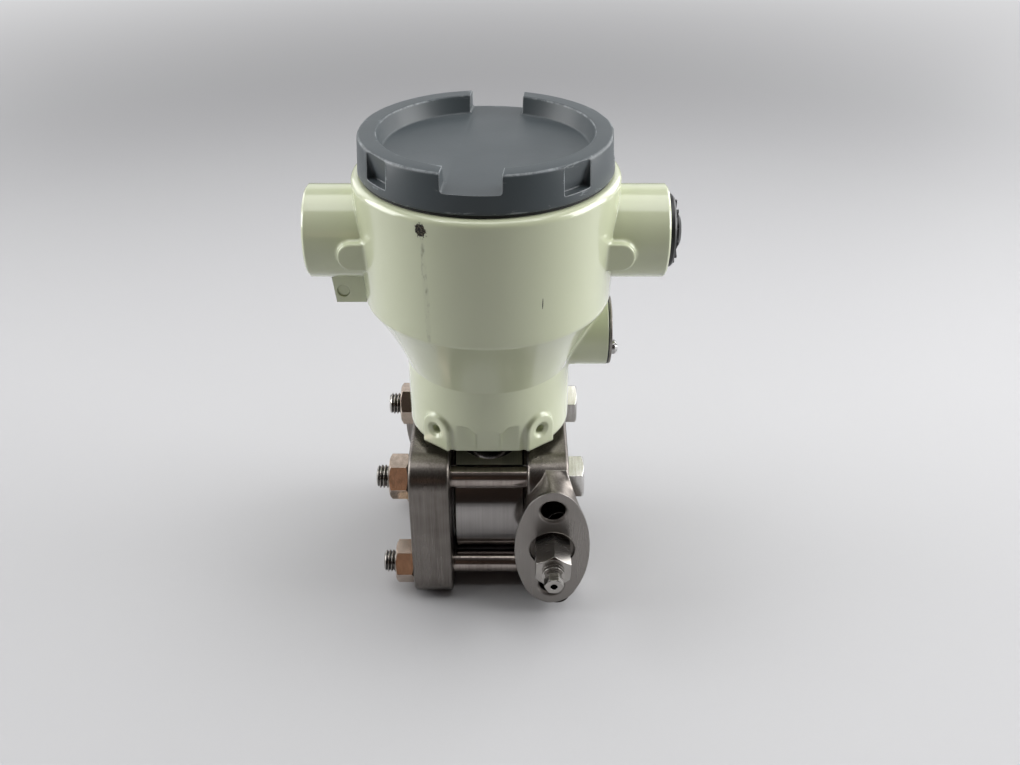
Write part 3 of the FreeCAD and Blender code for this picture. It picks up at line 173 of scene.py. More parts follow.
# the floor's colour is painted lighter near the part and darker with distance, a painted falloff of the
# light, then runs into the pale room
bpy.ops.object.select_all(action="DESELECT")
bpy.ops.mesh.primitive_plane_add(size=6.0, location=(0.0, 0.0, 0.0))
floor = bpy.context.object
floor.name = "floor"
pale_paper, floor_tree, floor_shader = new_material("pale_paper")
floor.data.materials.append(pale_paper)
floor_place = add_node(floor_tree, "ShaderNodeTexCoord").outputs["Object"]
floor_length = add_node(floor_tree, "ShaderNodeVectorMath", {0: floor_place}, operation="LENGTH")
floor_reach = floor_length.outputs["Value"]
floor_near = fade(floor_tree, floor_reach, 0.15, 0.85, interpolation_type="SMOOTHSTEP")
floor_falloff_tone = blend_colour(floor_tree, floor_near, (0.47, 0.47, 0.48), (0.27, 0.27, 0.277))
set_inputs(floor_tree, floor_shader, {"Base Color": floor_falloff_tone, "Roughness": 0.55, "Specular IOR Level": 0.3})
floor_far = fade(floor_tree, floor_reach, 0.60, 1.7, interpolation_type="SMOOTHSTEP")
floor_seen = add_node(floor_tree, "ShaderNodeLightPath").outputs
floor_straight = maths(floor_tree, "MAXIMUM", floor_seen["Is Camera Ray"], floor_seen["Is Transmission Ray"])
floor_mirrored = maths(floor_tree, "MULTIPLY_ADD", floor_seen["Is Glossy Ray"], 0.3, floor_straight,
                       use_clamp=True)
floor_fade = maths(floor_tree, "MULTIPLY", floor_far, floor_mirrored)
haze = add_node(floor_tree, "ShaderNodeEmission", {"Color": pale_room})
floor_mix = add_node(floor_tree, "ShaderNodeMixShader",
                     {0: floor_fade, 1: floor_shader.outputs[0], 2: haze.outputs[0]})
set_inputs(floor_tree, floor_tree.nodes["Material Output"], {"Surface": floor_mix.outputs[0]})


# ---- measuring cell ----------------------------------------------------------------
# A turned stainless drum between the covers.  Its lathe lines run round the part, so
# the steel reads as bands along X, and the darker groove beside each cover stays sharp.
def surface_place(tree, stretch=(1.0, 1.0, 1.0), turn=(0.0, 0.0, 0.0)):
    """Object coordinates, stretched or turned to follow a finish."""
    place = add_node(tree, "ShaderNodeTexCoord").outputs["Object"]
    mapping = add_node(tree, "ShaderNodeMapping", {"Vector": place, "Scale": stretch, "Rotation": turn})
    return mapping.outputs["Vector"]


def coordinate(tree, axis):
    """One of the object's own coordinates, X, Y or Z, in metres."""
    return add_node(tree, "ShaderNodeSeparateXYZ", {"Vector": surface_place(tree)}).outputs[axis]


def grain(tree, scale, detail, stretch=(1.0, 1.0, 1.0), turn=(0.0, 0.0, 0.0), roughness=0.5, distortion=0.0):
    """A noise around one half that sits still on the object."""
    inputs = {"Vector": surface_place(tree, stretch, turn), "Scale": scale, "Detail": detail,
              "Roughness": roughness, "Distortion": distortion}
    return add_node(tree, "ShaderNodeTexNoise", inputs).outputs["Fac"]


# outer edges, found from how little metal lies behind the surface
worn_edges = bpy.data.node_groups.new("worn_edges", "ShaderNodeTree")
for label, value in (("Width", 0.5 * MM), ("Break Up", 0.5)):
    edge_socket = worn_edges.interface.new_socket(label, in_out="INPUT", socket_type="NodeSocketFloat")
    edge_socket.default_value = value
worn_edges.interface.new_socket("Mask", in_out="OUTPUT", socket_type="NodeSocketFloat")
edge_in = worn_edges.nodes.new("NodeGroupInput")
edge_out = worn_edges.nodes.new("NodeGroupOutput")
behind = add_node(worn_edges, "ShaderNodeAmbientOcclusion", {"Distance": edge_in.outputs["Width"]},
                  inside=True, only_local=True, samples=12)
thin = fade(worn_edges, behind.outputs["AO"], 0.80, 0.40)
patch_level = fade(worn_edges, grain(worn_edges, 260.0, 4.0), 0.38, 0.62)
missing = maths(worn_edges, "SUBTRACT", patch_level, 1.0)
broken = maths(worn_edges, "MULTIPLY_ADD", missing, edge_in.outputs["Break Up"], 1.0)
edge_mask = maths(worn_edges, "MULTIPLY", thin, broken, use_clamp=True)
set_inputs(worn_edges, edge_out, {"Mask": edge_mask})


def edge_wear(tree, width, break_up):
    """The worn_edges group placed in a material with its own width and gaps."""
    wear = add_node(tree, "ShaderNodeGroup", {"Width": width, "Break Up": break_up}, node_tree=worn_edges)
    return wear.outputs["Mask"]


def soft_relief(tree, height, depth, radius, samples):
    """A normal with edges rounded to the radius and a relief of the given depth."""
    rounded = add_node(tree, "ShaderNodeBevel", {"Radius": radius}, samples=samples)
    inputs = {"Height": height, "Strength": 1.0, "Distance": depth, "Normal": rounded.outputs["Normal"]}
    return add_node(tree, "ShaderNodeBump", inputs).outputs["Normal"]


def metal(name, dark, light, roughness, stretch, grain_height, edge_colour, edge_width=0.4 * MM):
    """A bare metal whose grain runs along the least stretched axis, brighter on worn edges."""
    material, tree, shader = new_material(name)
    lines = grain(tree, 1.0, 6.0, stretch, roughness=0.65)
    level = fade(tree, maths(tree, "ADD", lines, grain(tree, 45.0, 3.0)), 0.75, 1.25)
    skin = blend_colour(tree, level, dark, light)
    worn = edge_wear(tree, edge_width, 0.45)
    set_inputs(tree, shader, {
        "Base Color": blend_colour(tree, worn, skin, edge_colour),
        "Roughness": fade(tree, level, 0.0, 1.0, roughness * 1.2, roughness * 0.85),
        "Metallic": 1.0,
        "Normal": soft_relief(tree, lines, grain_height, edge_width, 6)})
    return material


def bare_colour(material):
    """A metal's tree and shader, and the socket that colours it so far."""
    tree = material.node_tree
    shader = tree.nodes["Principled BSDF"]
    return tree, shader, shader.inputs["Base Color"].links[0].from_socket


def shade_between(material, axis, low, high, tint, weight=1.0, blend="MULTIPLY"):
    """Tints a metal where its object coordinate lies past high, easing in from low."""
    tree, shader, bare = bare_colour(material)
    reach = fade(tree, coordinate(tree, axis), low, high, 0.0, weight)
    set_inputs(tree, shader, {"Base Color": blend_colour(tree, reach, bare, tint, blend_type=blend)})


def dress(material, *names):
    """Puts a finish on the named nodes."""
    for name in names:
        for place in frame["nodes"][name].material_slots:
            place.material = material


turned_steel = metal("turned_steel", dark=(0.265, 0.25, 0.24), light=(0.325, 0.31, 0.30), roughness=0.12,
                     stretch=(1400.0, 10.0, 10.0), grain_height=0.0008 * MM, edge_colour=(0.70, 0.69, 0.68))
cover_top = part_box("low_cover")[1].z
# painted shade under the housing: the drum darkens from 9 mm to 6 mm below the covers' top and stays dark
# above
shade_between(turned_steel, "Z", cover_top - 9.0 * MM, cover_top - 6.0 * MM, (0.30, 0.29, 0.28))
dress(turned_steel, "cell_body", "high_diaphragm", "low_diaphragm", "pressure_sensor")


# ---- cell covers -------------------------------------------------------------------
# Investment-cast stainless plates, linished along their height, with machined oval port
# faces.  The cast skin keeps a fine grain and a soft brown-grey tone; handling has
# polished the outer edges.
def shade_in_recesses(material, reach, start, end, most, shade_colour, only_local):
    """Paints a metal darker where other metal within the reach closes its surface in: painted shade."""
    tree, shader, bare = bare_colour(material)
    closed_in = add_node(tree, "ShaderNodeAmbientOcclusion", {"Distance": reach},
                         only_local=only_local, samples=12)
    level = fade(tree, closed_in.outputs["AO"], start, end, 0.0, most)
    set_inputs(tree, shader, {"Base Color": blend_colour(tree, level, bare, shade_colour)})


cast_steel = metal("cast_steel", dark=(0.118, 0.105, 0.093), light=(0.225, 0.205, 0.188), roughness=0.31,
                   stretch=(1300.0, 1300.0, 24.0), grain_height=0.015 * MM, edge_colour=(0.62, 0.60, 0.58),
                   edge_width=0.8 * MM)
# painted shade: the covers go nearly black where other parts lie within 4 mm of them
shade_in_recesses(cast_steel, 4.0 * MM, 0.72, 0.22, 0.90, (0.018, 0.015, 0.012), only_local=False)
front_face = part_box("high_cover")[0].y
rear_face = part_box("low_cover")[1].y
for port_face, inwards in ((front_face, 1.0), (rear_face, -1.0)):
    shade_between(cast_steel, "Y", port_face + inwards * 0.5 * MM, port_face + inwards * 0.3 * MM,
                  (0.275, 0.258, 0.242), 0.8, "MIX")
dress(cast_steel, "high_cover", "low_cover")

# ---- gaskets -----------------------------------------------------------------------
# White fluoropolymer rings, cut from sheet and nipped between the covers and the cell,
# so that only a thin line of each shows.
gasket_white, gasket_tree, gasket_shader = new_material("gasket_white")
gasket_mottle = grain(gasket_tree, 300.0, 3.0)
gasket_colour = blend_colour(gasket_tree, gasket_mottle, (0.70, 0.69, 0.66), (0.80, 0.79, 0.76))
set_inputs(gasket_tree, gasket_shader, {"Base Color": gasket_colour, "Roughness": 0.5})
dress(gasket_white, "high_gasket", "low_gasket")

# ---- cover bolts and nuts ----------------------------------------------------------
# Four stainless through bolts clamp the covers, with hexagon heads on the high side and
# plain nuts on the low side.  Each bolt's rolled thread shows past its nut.
smooth_below = math.radians(32.0)


def select_only(piece):
    """Makes a piece the only one selected, and the active one."""
    bpy.ops.object.select_all(action="DESELECT")
    piece.select_set(True)
    bpy.context.view_layer.objects.active = piece


def close_up():
    """Merges doubled points, drops loose ones and turns all faces outwards, then leaves edit mode."""
    bpy.ops.mesh.select_all(action="SELECT")
    bpy.ops.mesh.remove_doubles(threshold=0.001 * MM)
    bpy.ops.mesh.delete_loose()
    bpy.ops.mesh.select_all(action="SELECT")
    bpy.ops.mesh.normals_make_consistent(inside=False)
    bpy.ops.object.mode_set(mode="OBJECT")
    bpy.ops.object.shade_smooth_by_angle(angle=smooth_below)


def cut_square(place, outwards):
    """Cuts the mesh in edit mode square to X and fills the cut; what lies outwards goes."""
    bpy.ops.mesh.select_all(action="SELECT")
    bpy.ops.mesh.bisect(plane_co=(place, 0.0, 0.0), plane_no=(outwards, 0.0, 0.0),
                        use_fill=True, clear_outer=True)


def lathe(name, outline, centre, axis, across, steps):
    """A closed outline of (distance along the axis, radius) points, spun about the axis."""
    bpy.ops.object.select_all(action="DESELECT")
    bpy.ops.mesh.primitive_circle_add(vertices=len(outline), fill_type="NOTHING", location=(0.0, 0.0, 0.0))
    piece = bpy.context.object
    piece.name = name
    for vertex, (along, radius) in zip(piece.data.vertices, outline):
        vertex.co = centre + axis * along + across * radius
    bpy.ops.object.mode_set(mode="EDIT")
    bpy.ops.mesh.select_all(action="SELECT")
    bpy.ops.mesh.spin(steps=steps, angle=math.radians(360.0), center=centre, axis=axis)
    close_up()
    return piece


def threaded_end(name, crest, root, pitch, turns, length):
    """A bolt's threaded end along -X from the origin: a helical groove cut back to a domed tip."""
    # one tooth's profile, as shares of the pitch, bent from a ring and opened at its ends
    tooth = ((0.0, crest), (0.14, crest), (0.50, root), (0.64, root), (1.0, crest))
    bpy.ops.object.select_all(action="DESELECT")
    bpy.ops.mesh.primitive_circle_add(vertices=len(tooth), fill_type="NOTHING", location=(0.0, 0.0, 0.0))
    helix = bpy.context.object
    for vertex, (part, radius) in zip(helix.data.vertices, tooth):
        vertex.co = (2 * pitch - part * pitch, 0.0, radius)
    bpy.ops.object.mode_set(mode="EDIT")
    bpy.ops.mesh.select_all(action="DESELECT")
    bpy.ops.object.mode_set(mode="OBJECT")
    for edge in helix.data.edges:
        edge.select = set(edge.vertices) == {0, len(tooth) - 1}
    bpy.ops.object.mode_set(mode="EDIT")
    bpy.ops.mesh.select_mode(type="EDGE")
    bpy.ops.mesh.delete(type="EDGE")
    bpy.ops.mesh.select_mode(type="VERT")
    bpy.ops.object.mode_set(mode="OBJECT")
    # wound into a helix and cut square at both ends
    winding = helix.modifiers.new("winding", "SCREW")
    winding.axis = "X"
    winding.screw_offset = -pitch
    winding.iterations = turns
    winding.steps = 40
    winding.render_steps = 40
    bpy.ops.object.modifier_apply(modifier="winding")
    bpy.ops.object.mode_set(mode="EDIT")
    bpy.ops.mesh.select_all(action="SELECT")
    bpy.ops.mesh.remove_doubles(threshold=0.002 * MM)
    cut_square(0.5 * pitch, 1.0)
    cut_square(-length - 0.4 * pitch, -1.0)
    close_up()
    # what lies inside the domed tip's envelope is kept
    tip = [(0.0, 0.0), (0.0, crest), (length - 1.3 * MM, crest), (length - 0.35 * MM, root + 0.1 * MM),
           (length - 0.1 * MM, root * 0.86), (length, root * 0.5), (length, 0.0)]
    end = lathe(name, tip, centre=Vector((0.2 * pitch, 0.0, 0.0)), axis=Vector((-1.0, 0.0, 0.0)),
                across=Vector((0.0, 0.0, 1.0)), steps=64)
    meeting = end.modifiers.new("meeting", "BOOLEAN")
    meeting.operation = "INTERSECT"
    meeting.object = helix
    bpy.ops.object.modifier_apply(modifier="meeting")
    bpy.data.objects.remove(helix, do_unlink=True)
    bpy.ops.object.shade_smooth_by_angle(angle=smooth_below)
    return end


def copied(piece, name):
    """A copy with its own mesh."""
    twin = piece.copy()
    twin.data = piece.data.copy()
    twin.name = name
    scene.collection.objects.link(twin)
    return twin


def settle(piece, body, material, slot_name, *stands_for):
    """Applies a piece's place, gives it its finish and joins it to its body."""
    select_only(piece)
    bpy.ops.object.transform_apply(location=True, rotation=True, scale=True)
    piece.data.materials.clear()
    piece.data.materials.append(material)
    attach(piece, body)
    if stands_for:
        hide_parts(*stands_for)


bolt_steel = metal("bolt_steel", dark=(0.28, 0.24, 0.215), light=(0.44, 0.39, 0.36), roughness=0.18,
                   stretch=(900.0, 60.0, 60.0), grain_height=0.003 * MM, edge_colour=(0.82, 0.81, 0.79),
                   edge_width=0.35 * MM)
# painted light: the head is tinted about twice as bright and a little bluer than the rod, which stays darker
# and browner as painted shade between the covers
head_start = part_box("bolt_front_high")[1].x - 8.0 * MM
shade_between(bolt_steel, "X", head_start, head_start + 0.5 * MM, (1.75, 1.95, 2.05))

# threads are painted dark in their grooves, painted shade, and stay bright along their crests
thread_steel = metal("thread_steel", dark=(0.34, 0.32, 0.30), light=(0.52, 0.50, 0.47), roughness=0.22,
                     stretch=(200.0, 200.0, 200.0), grain_height=0.002 * MM, edge_colour=(0.85, 0.84, 0.82),
                     edge_width=0.15 * MM)
shade_in_recesses(thread_steel, 1.1 * MM, 0.80, 0.50, 1.0, (0.022, 0.018, 0.014), only_local=True)

# the nuts' stainless steel is tinted warm copper: a painted reflection of the warm room in front of them
nut_steel = metal("nut_steel", dark=(0.48, 0.39, 0.32), light=(0.66, 0.55, 0.46), roughness=0.20,
                  stretch=(500.0, 300.0, 300.0), grain_height=0.004 * MM, edge_colour=(0.80, 0.74, 0.68),
                  edge_width=0.3 * MM)
corners = ("front_high", "front_low", "rear_high", "rear_low")
dress(nut_steel, *("nut_" + corner for corner in corners))

# head and rod are the bolt's own solid, cut off this far inside its nut, where the thread
# takes over; each corner's thread starts at another turn
thread_inside = 1.0 * MM
thread_turn = math.radians(75.0)
thread_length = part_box("nut_front_high")[0].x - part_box("bolt_front_high")[0].x + thread_inside
thread_model = threaded_end("thread_model", crest=5.0 * MM, root=4.12 * MM, pitch=1.5 * MM, turns=8,
                            length=thread_length)
for number, corner in enumerate(corners):
    nut_low, nut_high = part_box("nut_" + corner)
    thread_start = nut_low.x + thread_inside
    shank = copied(frame["nodes"]["bolt_" + corner], "shank_" + corner)
    select_only(shank)
    bpy.ops.object.parent_clear(type="CLEAR_KEEP_TRANSFORM")
    bpy.ops.mesh.customdata_custom_splitnormals_clear()
    bpy.ops.object.mode_set(mode="EDIT")
    bpy.ops.mesh.select_all(action="SELECT")
    bpy.ops.mesh.remove_doubles(threshold=0.001 * MM)
    cut_square(thread_start, -1.0)
    close_up()
    settle(shank, "measuring_cell", bolt_steel, "bolt_stainless", "bolt_" + corner)
    thread = copied(thread_model, "thread_" + corner)
    thread.rotation_euler = (number * thread_turn, 0.0, 0.0)
    thread.location = (thread_start, (nut_low.y + nut_high.y) / 2, (nut_low.z + nut_high.z) / 2)
    settle(thread, "measuring_cell", thread_steel, "bolt_stainless", "bolt_" + corner)
bpy.data.objects.remove(thread_model, do_unlink=True)

# ---- tapped holes ------------------------------------------------------------------
# Thread turns inside the four flange holes of the two covers, modelled as toothed rings
# that line each drilled wall.  Their steel is painted nearly black: painted shade inside the holes.
port_distance = 27.0 * MM       # oval port faces, either side of the cell's middle
oval_height = 31.0 * MM         # their middle above the cover's foot
hole_offset = 20.65 * MM        # flange holes above and below that middle
hole_wall = 5.05 * MM
chamfer_depth = 1.15 * MM
tooth_pitch = 1.27 * MM
tooth_depth = 0.45 * MM
lining_back = 0.15 * MM         # how far the ring reaches into the wall
# painted shade: a nearly black steel for the thread rings deep in the holes
hole_shade_steel = metal("hole_shade_steel", dark=(0.035, 0.031, 0.027), light=(0.075, 0.068, 0.060), roughness=0.38,
                     stretch=(200.0, 200.0, 200.0), grain_height=0.002 * MM, edge_colour=(0.26, 0.25, 0.235),
                     edge_width=0.15 * MM)


def tapped_lining(name, mouth, inward, turns):
    """A ring of thread teeth that stands a little proud of a drilled wall."""
    outline = [(chamfer_depth, hole_wall + lining_back)]
    for number in range(turns):
        outline += [(chamfer_depth + number * tooth_pitch, hole_wall),
                    (chamfer_depth + (number + 0.5) * tooth_pitch, hole_wall - tooth_depth)]
    outline += [(chamfer_depth + turns * tooth_pitch, hole_wall),
                (chamfer_depth + turns * tooth_pitch, hole_wall + lining_back)]
    return lathe(name, outline, mouth, inward, Vector((1.0, 0.0, 0.0)), 40)


for pressure, side, port_face in (("high", 1.0, front_face), ("low", -1.0, rear_face)):
    oval_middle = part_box(pressure + "_cover")[0].z + oval_height
    for place, level in (("lower", -1.0), ("upper", 1.0)):
        mouth = Vector((side * port_distance, port_face, oval_middle + level * hole_offset))
        lining = tapped_lining(pressure + "_tapping_" + place, mouth, Vector((0.0, side, 0.0)), 8)
        settle(lining, "measuring_cell", hole_shade_steel, "cover_stainless")

# ---- vent valve --------------------------------------------------------------------
# A turned stainless hexagon plug in the high side's port, with a ball that a drilled,
# threaded stem presses on its seat.
fitting_steel = metal("fitting_steel", dark=(0.31, 0.295, 0.275), light=(0.41, 0.39, 0.365), roughness=0.25,
                      stretch=(120.0, 900.0, 120.0), grain_height=0.0015 * MM, edge_colour=(0.82, 0.81, 0.79),
                      edge_width=0.3 * MM)
dress(fitting_steel, "vent_plug", "vent_ball", "vent_stem")

# ---- housing -----------------------------------------------------------------------
# One aluminium casting under a gloss cream-green enamel that also covers the earthing
# screw.  The drum's front has a chip down to dark metal with a faint smear below it, and
# a short scratch.
drum_radius = 50.5 * MM


def oval_mark(tree, azimuth, height, half_width, half_height, soft, ragged):
    """1 inside a ragged oval on the drum's wall, 0 outside; the azimuth is in degrees from the front."""
    x = maths(tree, "SUBTRACT", coordinate(tree, "X"), axis_x)
    y = maths(tree, "SUBTRACT", axis_y, coordinate(tree, "Y"))
    turn = maths(tree, "SUBTRACT", maths(tree, "ARCTAN2", x, y), math.radians(azimuth))
    across = maths(tree, "DIVIDE", maths(tree, "MULTIPLY", turn, drum_radius), half_width)
    up = maths(tree, "DIVIDE", maths(tree, "SUBTRACT", coordinate(tree, "Z"), height), half_height)
    reach = maths(tree, "MULTIPLY_ADD", up, up, maths(tree, "MULTIPLY", across, across))
    rough = maths(tree, "MULTIPLY_ADD", grain(tree, 520.0, 4.0), ragged, reach)
    rim = 1.0 + ragged * 0.5
    return fade(tree, rough, rim + soft, rim - soft)


enamel, enamel_tree, enamel_shader = new_material("cream_green_enamel")
drift = grain(enamel_tree, 14.0, 2.0)
paint = blend_colour(enamel_tree, drift, (0.585, 0.625, 0.430), (0.620, 0.660, 0.465))

# the chip, with loose specks about it
chip_azimuth = -25.3
chip_height = 184.3 * MM
chip_patch = oval_mark(enamel_tree, chip_azimuth, chip_height, 1.9 * MM, 2.4 * MM, 0.12, 3.4)
chip_round = oval_mark(enamel_tree, chip_azimuth, chip_height, 2.6 * MM, 3.1 * MM, 0.4, 1.0)
chip_loose = fade(enamel_tree, grain(enamel_tree, 1300.0, 2.0), 0.58, 0.62)
chip = maths(enamel_tree, "MAXIMUM", chip_patch, maths(enamel_tree, "MULTIPLY", chip_round, chip_loose))
chip_tone = fade(enamel_tree, grain(enamel_tree, 1500.0, 3.0), 0.48, 0.58)
bared = blend_colour(enamel_tree, chip_tone, (0.006, 0.005, 0.003), (0.10, 0.085, 0.05))
paint = blend_colour(enamel_tree, chip, paint, bared)

# the smear and the scratch
smear = oval_mark(enamel_tree, -24.9, 160.0 * MM, 1.1 * MM, 24.0 * MM, 0.5, 2.0)
specks = grain(enamel_tree, 620.0, 4.0, (1.0, 1.0, 0.4))
smear_weak = maths(enamel_tree, "MULTIPLY", smear, fade(enamel_tree, specks, 0.50, 0.68, 0.06, 0.55))
paint = blend_colour(enamel_tree, smear_weak, paint, (0.17, 0.17, 0.12))
scratch = oval_mark(enamel_tree, 24.5, 155.0 * MM, 0.22 * MM, 2.3 * MM, 0.2, 0.5)
paint = blend_colour(enamel_tree, scratch, paint, (0.07, 0.075, 0.055))

# thick paint rounds the foot's edges more than the rest
foot_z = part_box("housing")[0].z
edge_radius = fade(enamel_tree, coordinate(enamel_tree, "Z"), foot_z + 12.0 * MM, foot_z + 20.0 * MM,
                   1.7 * MM, 0.9 * MM)
sunk = maths(enamel_tree, "MULTIPLY_ADD", chip, -6.0, grain(enamel_tree, 420.0, 2.0))
set_inputs(enamel_tree, enamel_shader, {
    "Base Color": paint,
    "Roughness": fade(enamel_tree, chip, 0.0, 1.0, 0.20, 0.85),
    "Coat Weight": fade(enamel_tree, chip, 0.0, 1.0, 0.8, 0.0),
    "Coat Roughness": 0.05,
    "Normal": soft_relief(enamel_tree, sunk, 0.012 * MM, edge_radius, 8)})
dress(enamel, "housing", "ground_screw")

# ---- small screws ------------------------------------------------------------------
# Zinc-plated set screws and pan heads, and brass screws in the terminal block.  The
# disc cover that one of them holds has the cell covers' cast skin.
screw_steel = metal("screw_steel", dark=(0.40, 0.39, 0.38), light=(0.58, 0.57, 0.56), roughness=0.28,
                    stretch=(300.0, 300.0, 300.0), grain_height=0.004 * MM, edge_colour=(0.80, 0.79, 0.78),
                    edge_width=0.2 * MM)
dress(screw_steel, "lock_screw_left", "lock_screw_right", "access_screw", "zero_adjuster",
      "board_screw_1", "board_screw_2", "board_screw_3", "block_screw_rear", "block_screw_front")
terminal_brass = metal("terminal_brass", dark=(0.52, 0.36, 0.14), light=(0.66, 0.49, 0.22), roughness=0.28,
                       stretch=(300.0, 300.0, 300.0), grain_height=0.004 * MM, edge_colour=(0.85, 0.68, 0.36),
                       edge_width=0.2 * MM)
dress(terminal_brass, "terminal_screw_minus", "terminal_screw_check", "terminal_screw_plus")
dress(cast_steel, "access_cover")


# ---- rubber and plastics -----------------------------------------------------------
# Moulded seals, leads, conduit plug and terminal block, the coated circuit board, and
# the drawn aluminium can that carries it.
def plain_moulding(name, dark, light, roughness, scale, depth):
    """A moulded plastic or rubber with a faint mottle and a fine skin, paler on worn edges."""
    material, tree, shader = new_material(name)
    mottle = grain(tree, scale, 4.0)
    skin = blend_colour(tree, mottle, dark, light)
    worn = maths(tree, "MULTIPLY", edge_wear(tree, 0.4 * MM, 0.7), 0.4)
    paler = tuple(min(1.0, value * 2.2 + 0.02) for value in light)
    bump = add_node(tree, "ShaderNodeBump", {"Height": mottle, "Strength": 1.0, "Distance": depth})
    set_inputs(tree, shader, {
        "Base Color": blend_colour(tree, worn, skin, paler),
        "Roughness": fade(tree, mottle, 0.0, 1.0, roughness * 1.15, roughness * 0.85),
        "Normal": bump.outputs["Normal"]})
    return material


black_rubber = plain_moulding("black_rubber", (0.006, 0.006, 0.007), (0.014, 0.014, 0.015),
                              0.6, 500.0, 0.01 * MM)
dress(black_rubber, "neck_seal", "access_gasket", "cap_oring", "sensor_leads")
black_plastic = plain_moulding("black_plastic", (0.008, 0.008, 0.009), (0.018, 0.018, 0.020),
                               0.38, 700.0, 0.008 * MM)
dress(black_plastic, "conduit_plug", "sensor_connector")
block_plastic = plain_moulding("block_plastic", (0.02, 0.02, 0.022), (0.04, 0.04, 0.042),
                               0.5, 700.0, 0.01 * MM)
dress(block_plastic, "terminal_block")
board_green = plain_moulding("board_green", (0.010, 0.08, 0.03), (0.02, 0.13, 0.05), 0.4, 400.0, 0.01 * MM)
dress(board_green, "main_board")
can_aluminium = metal("can_aluminium", dark=(0.55, 0.56, 0.57), light=(0.70, 0.71, 0.72), roughness=0.35,
                      stretch=(60.0, 60.0, 900.0), grain_height=0.006 * MM, edge_colour=(0.85, 0.85, 0.85))
dress(can_aluminium, "electronics_can")

# ---- cap ---------------------------------------------------------------------------
# Aluminium casting under a semi-gloss blue-grey paint, rubbed through along its edges.
# Its side leans in towards the top, so each spanner notch fades out at the rim.
cap_paint, cap_tree, cap_shader = new_material("cap_paint")
cap_cloud = grain(cap_tree, 30.0, 5.0, roughness=0.6)
cap_colour = blend_colour(cap_tree, cap_cloud, (0.047, 0.058, 0.064), (0.063, 0.077, 0.084))

# edges worn bright, with light scuffs near them
scuff = grain(cap_tree, 1.0, 4.0, (110.0, 330.0, 700.0), (0.5, 0.3, 0.6), distortion=0.6)
scuffed = maths(cap_tree, "MULTIPLY", fade(cap_tree, scuff, 0.60, 0.66, 0.0, 0.55),
                edge_wear(cap_tree, 3.5 * MM, 0.0))
cap_wear = maths(cap_tree, "MAXIMUM", scuffed, edge_wear(cap_tree, 0.50 * MM, 0.25))

# a broken rubbed line just under the rim's top
rim_depth = maths(cap_tree, "SUBTRACT", cap_high.z, coordinate(cap_tree, "Z"))
rim_band = maths(cap_tree, "MULTIPLY", fade(cap_tree, rim_depth, 0.02 * MM, 0.12 * MM),
                 fade(cap_tree, rim_depth, 0.85 * MM, 0.45 * MM))
rim_left = fade(cap_tree, grain(cap_tree, 110.0, 6.0, roughness=0.68), 0.46, 0.62, 0.02, 0.42)
rim_rub = maths(cap_tree, "MULTIPLY", rim_band, rim_left)
cap_rubbed = maths(cap_tree, "MAXIMUM", rim_rub, cap_wear)
set_inputs(cap_tree, cap_shader, {
    "Base Color": blend_colour(cap_tree, cap_rubbed, cap_colour, (0.46, 0.49, 0.51)),
    "Roughness": fade(cap_tree, cap_cloud, 0.0, 1.0, 0.46, 0.32),
    "Normal": soft_relief(cap_tree, grain(cap_tree, 900.0, 3.0), 0.02 * MM, 0.8 * MM, 6)})

# heights are taken from the skirt's foot
cap_foot = Vector((axis_x, axis_y, cap_low.z))
top_z = cap_high.z - cap_low.z
floor_z = top_z - 7.0 * MM      # floor of the recess inside the rim
flange_z = 11.5 * MM            # underside of the flange, above the threaded skirt
skirt = 45.3 * MM               # over the thread's crests
skirt_wall = 4.5 * MM
cap_pitch = 1.5 * MM
cap_thread_depth = 0.8 * MM
side_foot = 49.2 * MM
side_top = 48.4 * MM
rim_inner = 41.6 * MM
recess_foot = 38.6 * MM
cap_outline = [(floor_z - 3.6 * MM, 0.0), (floor_z - 3.6 * MM, skirt - skirt_wall - 1.0 * MM),
               (floor_z - 4.6 * MM, skirt - skirt_wall), (0.0, skirt - skirt_wall),
               (0.0, skirt - cap_thread_depth)]
for number in range(6):
    cap_outline += [(0.8 * MM + number * cap_pitch, skirt),
                    (0.8 * MM + (number + 0.5) * cap_pitch, skirt - cap_thread_depth)]
cap_outline += [(9.9 * MM, skirt - 0.4 * MM), (flange_z, skirt - 0.4 * MM),
                (flange_z, side_foot - 0.3 * MM), (flange_z + 0.3 * MM, side_foot),
                (top_z - 1.1 * MM, side_top), (top_z - 0.5 * MM, side_top - 0.25 * MM),
                (top_z - 0.14 * MM, side_top - 0.7 * MM), (top_z, side_top - 1.3 * MM),
                (top_z, rim_inner), (top_z - 0.3 * MM, rim_inner - 0.35 * MM),
                (floor_z + 0.9 * MM, recess_foot + 1.0 * MM), (floor_z + 0.35 * MM, recess_foot + 0.7 * MM),
                (floor_z, recess_foot), (floor_z, 0.0)]
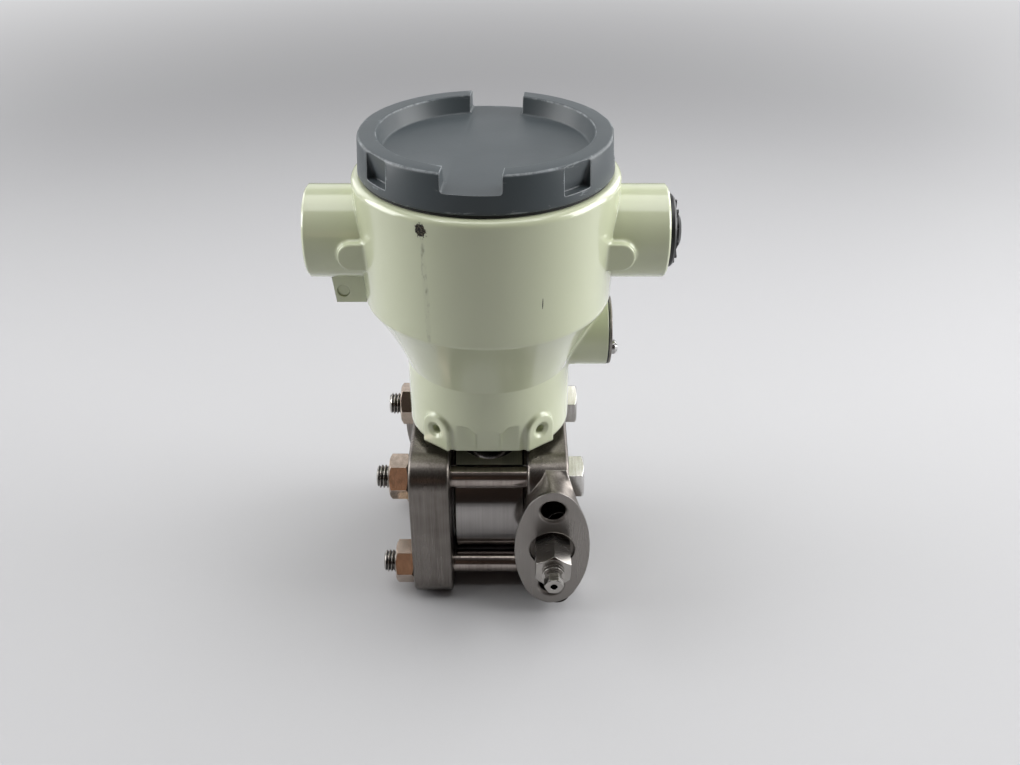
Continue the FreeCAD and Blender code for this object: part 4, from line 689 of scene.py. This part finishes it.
cap_piece = lathe("cap_casting", cap_outline, centre=cap_foot, axis=Vector((0.0, 0.0, 1.0)),
                  across=Vector((0.0, -1.0, 0.0)), steps=180)


def carve(piece, cutter):
    """Takes the cutter out of the piece and drops the cutter."""
    select_only(piece)
    taken = piece.modifiers.new("taken", "BOOLEAN")
    taken.operation = "DIFFERENCE"
    taken.object = cutter
    bpy.ops.object.modifier_apply(modifier="taken")
    bpy.data.objects.remove(cutter, do_unlink=True)


def soft_block(low, high, lean, bevel, turn):
    """A block with rounded edges, turned about the cap's axis; its rear face leans in by lean at the top."""
    bpy.ops.object.select_all(action="DESELECT")
    bpy.ops.mesh.primitive_cube_add(size=1.0, location=(0.0, 0.0, 0.0))
    block = bpy.context.object
    for vertex in block.data.vertices:
        x = high.x if vertex.co.x > 0 else low.x
        y = high.y if vertex.co.y > 0 else low.y
        z = high.z if vertex.co.z > 0 else low.z
        if vertex.co.y > 0 and vertex.co.z > 0:
            y -= lean
        vertex.co = (x, y, z)
    rounding = block.modifiers.new("rounding", "BEVEL")
    rounding.width = bevel
    rounding.segments = 3
    bpy.ops.object.modifier_apply(modifier="rounding")
    block.location = cap_foot
    block.rotation_euler = (0.0, 0.0, turn)
    return block


# the bar slot runs right across, and three notches lie on each side of it
slot_turn = math.radians(-5.2)
slot_half = 10.8 * MM
notch_half = 6.5 * MM
beyond = 60.0 * MM              # past the cap's side
carve(cap_piece, soft_block(Vector((-slot_half, -beyond, floor_z - 0.02 * MM)),
                            Vector((slot_half, beyond, floor_z + 20.0 * MM)), 0.0, 1.1 * MM, slot_turn))
for degrees in (48.0, 90.0, 132.0, -48.0, -90.0, -132.0):
    carve(cap_piece, soft_block(Vector((-notch_half, -beyond, flange_z + 3.4 * MM)),
                                Vector((notch_half, -skirt, top_z + 6.0 * MM)),
                                4.0 * MM, 0.6 * MM, slot_turn + math.radians(degrees)))
bpy.ops.object.shade_smooth_by_angle(angle=smooth_below)
settle(cap_piece, "cap", cap_paint, "cap_paint", "cap")
